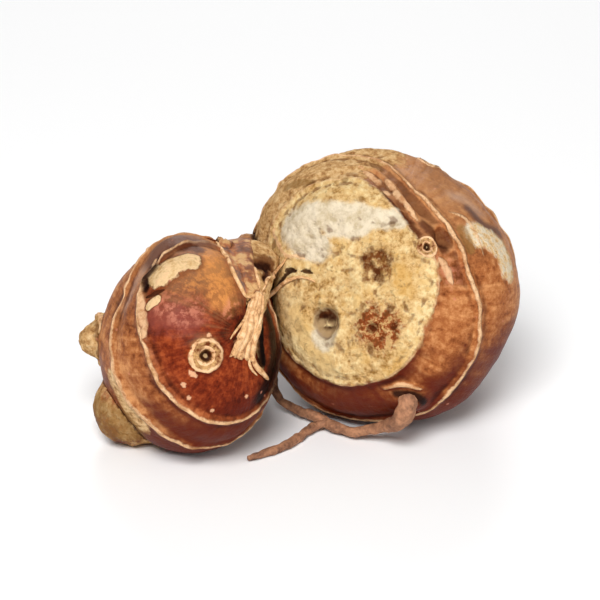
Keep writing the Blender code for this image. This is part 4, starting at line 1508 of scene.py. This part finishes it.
def husk_material():
    """Straw-coloured husk with painted shade in the folds between its pleats, and a duskier colour on the
    collar, partly painted shade, that turns to painted shade next to the hole.
    """
    paint = Paint("husk")
    speckle = paint.noise(0.6, roughness=0.65)
    colour = paint.ramp(speckle, (0.34, HUSK_DARK), (0.48, HUSK), (0.62, HUSK_PALE))
    # Painted shade in the folds between the pleats
    colour = paint.cover(colour, HUSK_DARK, paint.zone("ridge"), 0.6)
    blotches = paint.noise(1.4, seed=2.0)
    dusky = paint.ramp(blotches, (0.4, PLUM_GREY), (0.5, BROWN), (0.6, TAN))
    # The dusky colour, partly painted shade, where the dusk field is set
    colour = paint.cover(colour, dusky, paint.field("dusk_shade"))
    inner = paint.zone("dusk_shade")
    # Painted shade on the collar's right side, next to the hole
    colour = paint.cover(colour, HOLE_EDGE, inner, paint.step(blotches, 0.6, 0.44), 0.75)
    return paint.finished(colour, 0.7, speckle, 0.2)


def dress(piece, material):
    """Gives the piece its material and its slot, and lets it ride on the rhizome."""
    piece.data.materials.clear()
    piece.data.materials.append(material)
    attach(piece, "root")


def floor():
    """A wide pale floor."""
    corners = [(x * FLOOR_HALF, y * FLOOR_HALF, 0.0) for x, y in ((-1, -1), (1, -1), (1, 1), (-1, 1))]
    mesh = mesh_of("floor", corners, [(0, 1, 2, 3)])
    paint = Paint("floor")
    tone = paint.noise(300.0, detail=2.0)
    mesh.materials.append(paint.finished(paint.ramp(tone, (0.3, FLOOR), (0.7, FLOOR_SHADE)), 0.8))
    made = placed("floor", mesh)


def area_light(name, place, size, power, aim=(0.0, 0.0, 10.0)):
    """A soft square light at a place in millimetres, aimed at the rhizome."""
    light = bpy.data.lights.new(name, "AREA")
    light.energy = power
    light.size = size * MM
    made = placed(name, light)
    made.location = Vector(place) * MM
    made.rotation_euler = (Vector(aim) * MM - made.location).to_track_quat("-Z", "Y").to_euler()


def surroundings():
    """Even white light from all round."""
    world = bpy.data.worlds.new("surroundings")
    world.use_nodes = True
    background = world.node_tree.nodes["Background"].inputs
    background["Color"].default_value = (1.0, 1.0, 1.0, 1.0)
    background["Strength"].default_value = SURROUNDINGS_STRENGTH
    bpy.context.scene.world = world
    bpy.context.scene.view_settings.view_transform = "Standard"


def camera():
    """The camera at the photograph's viewing angle."""
    elevation = math.radians(CAMERA_ELEVATION)
    back = Vector((0.0, -math.cos(elevation), math.sin(elevation)))
    lens = bpy.data.cameras.new("camera")
    lens.sensor_width = SENSOR_WIDTH
    lens.lens = SENSOR_WIDTH * CAMERA_DISTANCE / VIEW_WIDTH
    lens.clip_start = 0.01
    made = placed("camera", lens)
    made.location = (Vector(CAMERA_TARGET) + back * CAMERA_DISTANCE) * MM
    made.rotation_euler = (-back).to_track_quat("-Z", "Y").to_euler()
    bpy.context.scene.camera = made


def main():
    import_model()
    for light in LIGHTS:
        area_light(*light)
    surroundings()
    camera()
    floor()
    body = skin_body()
    dress(body, skin_material())
    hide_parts("rhizome")
    dress(rootlets(), root_material())
    dress(husk(body), husk_material())


main()
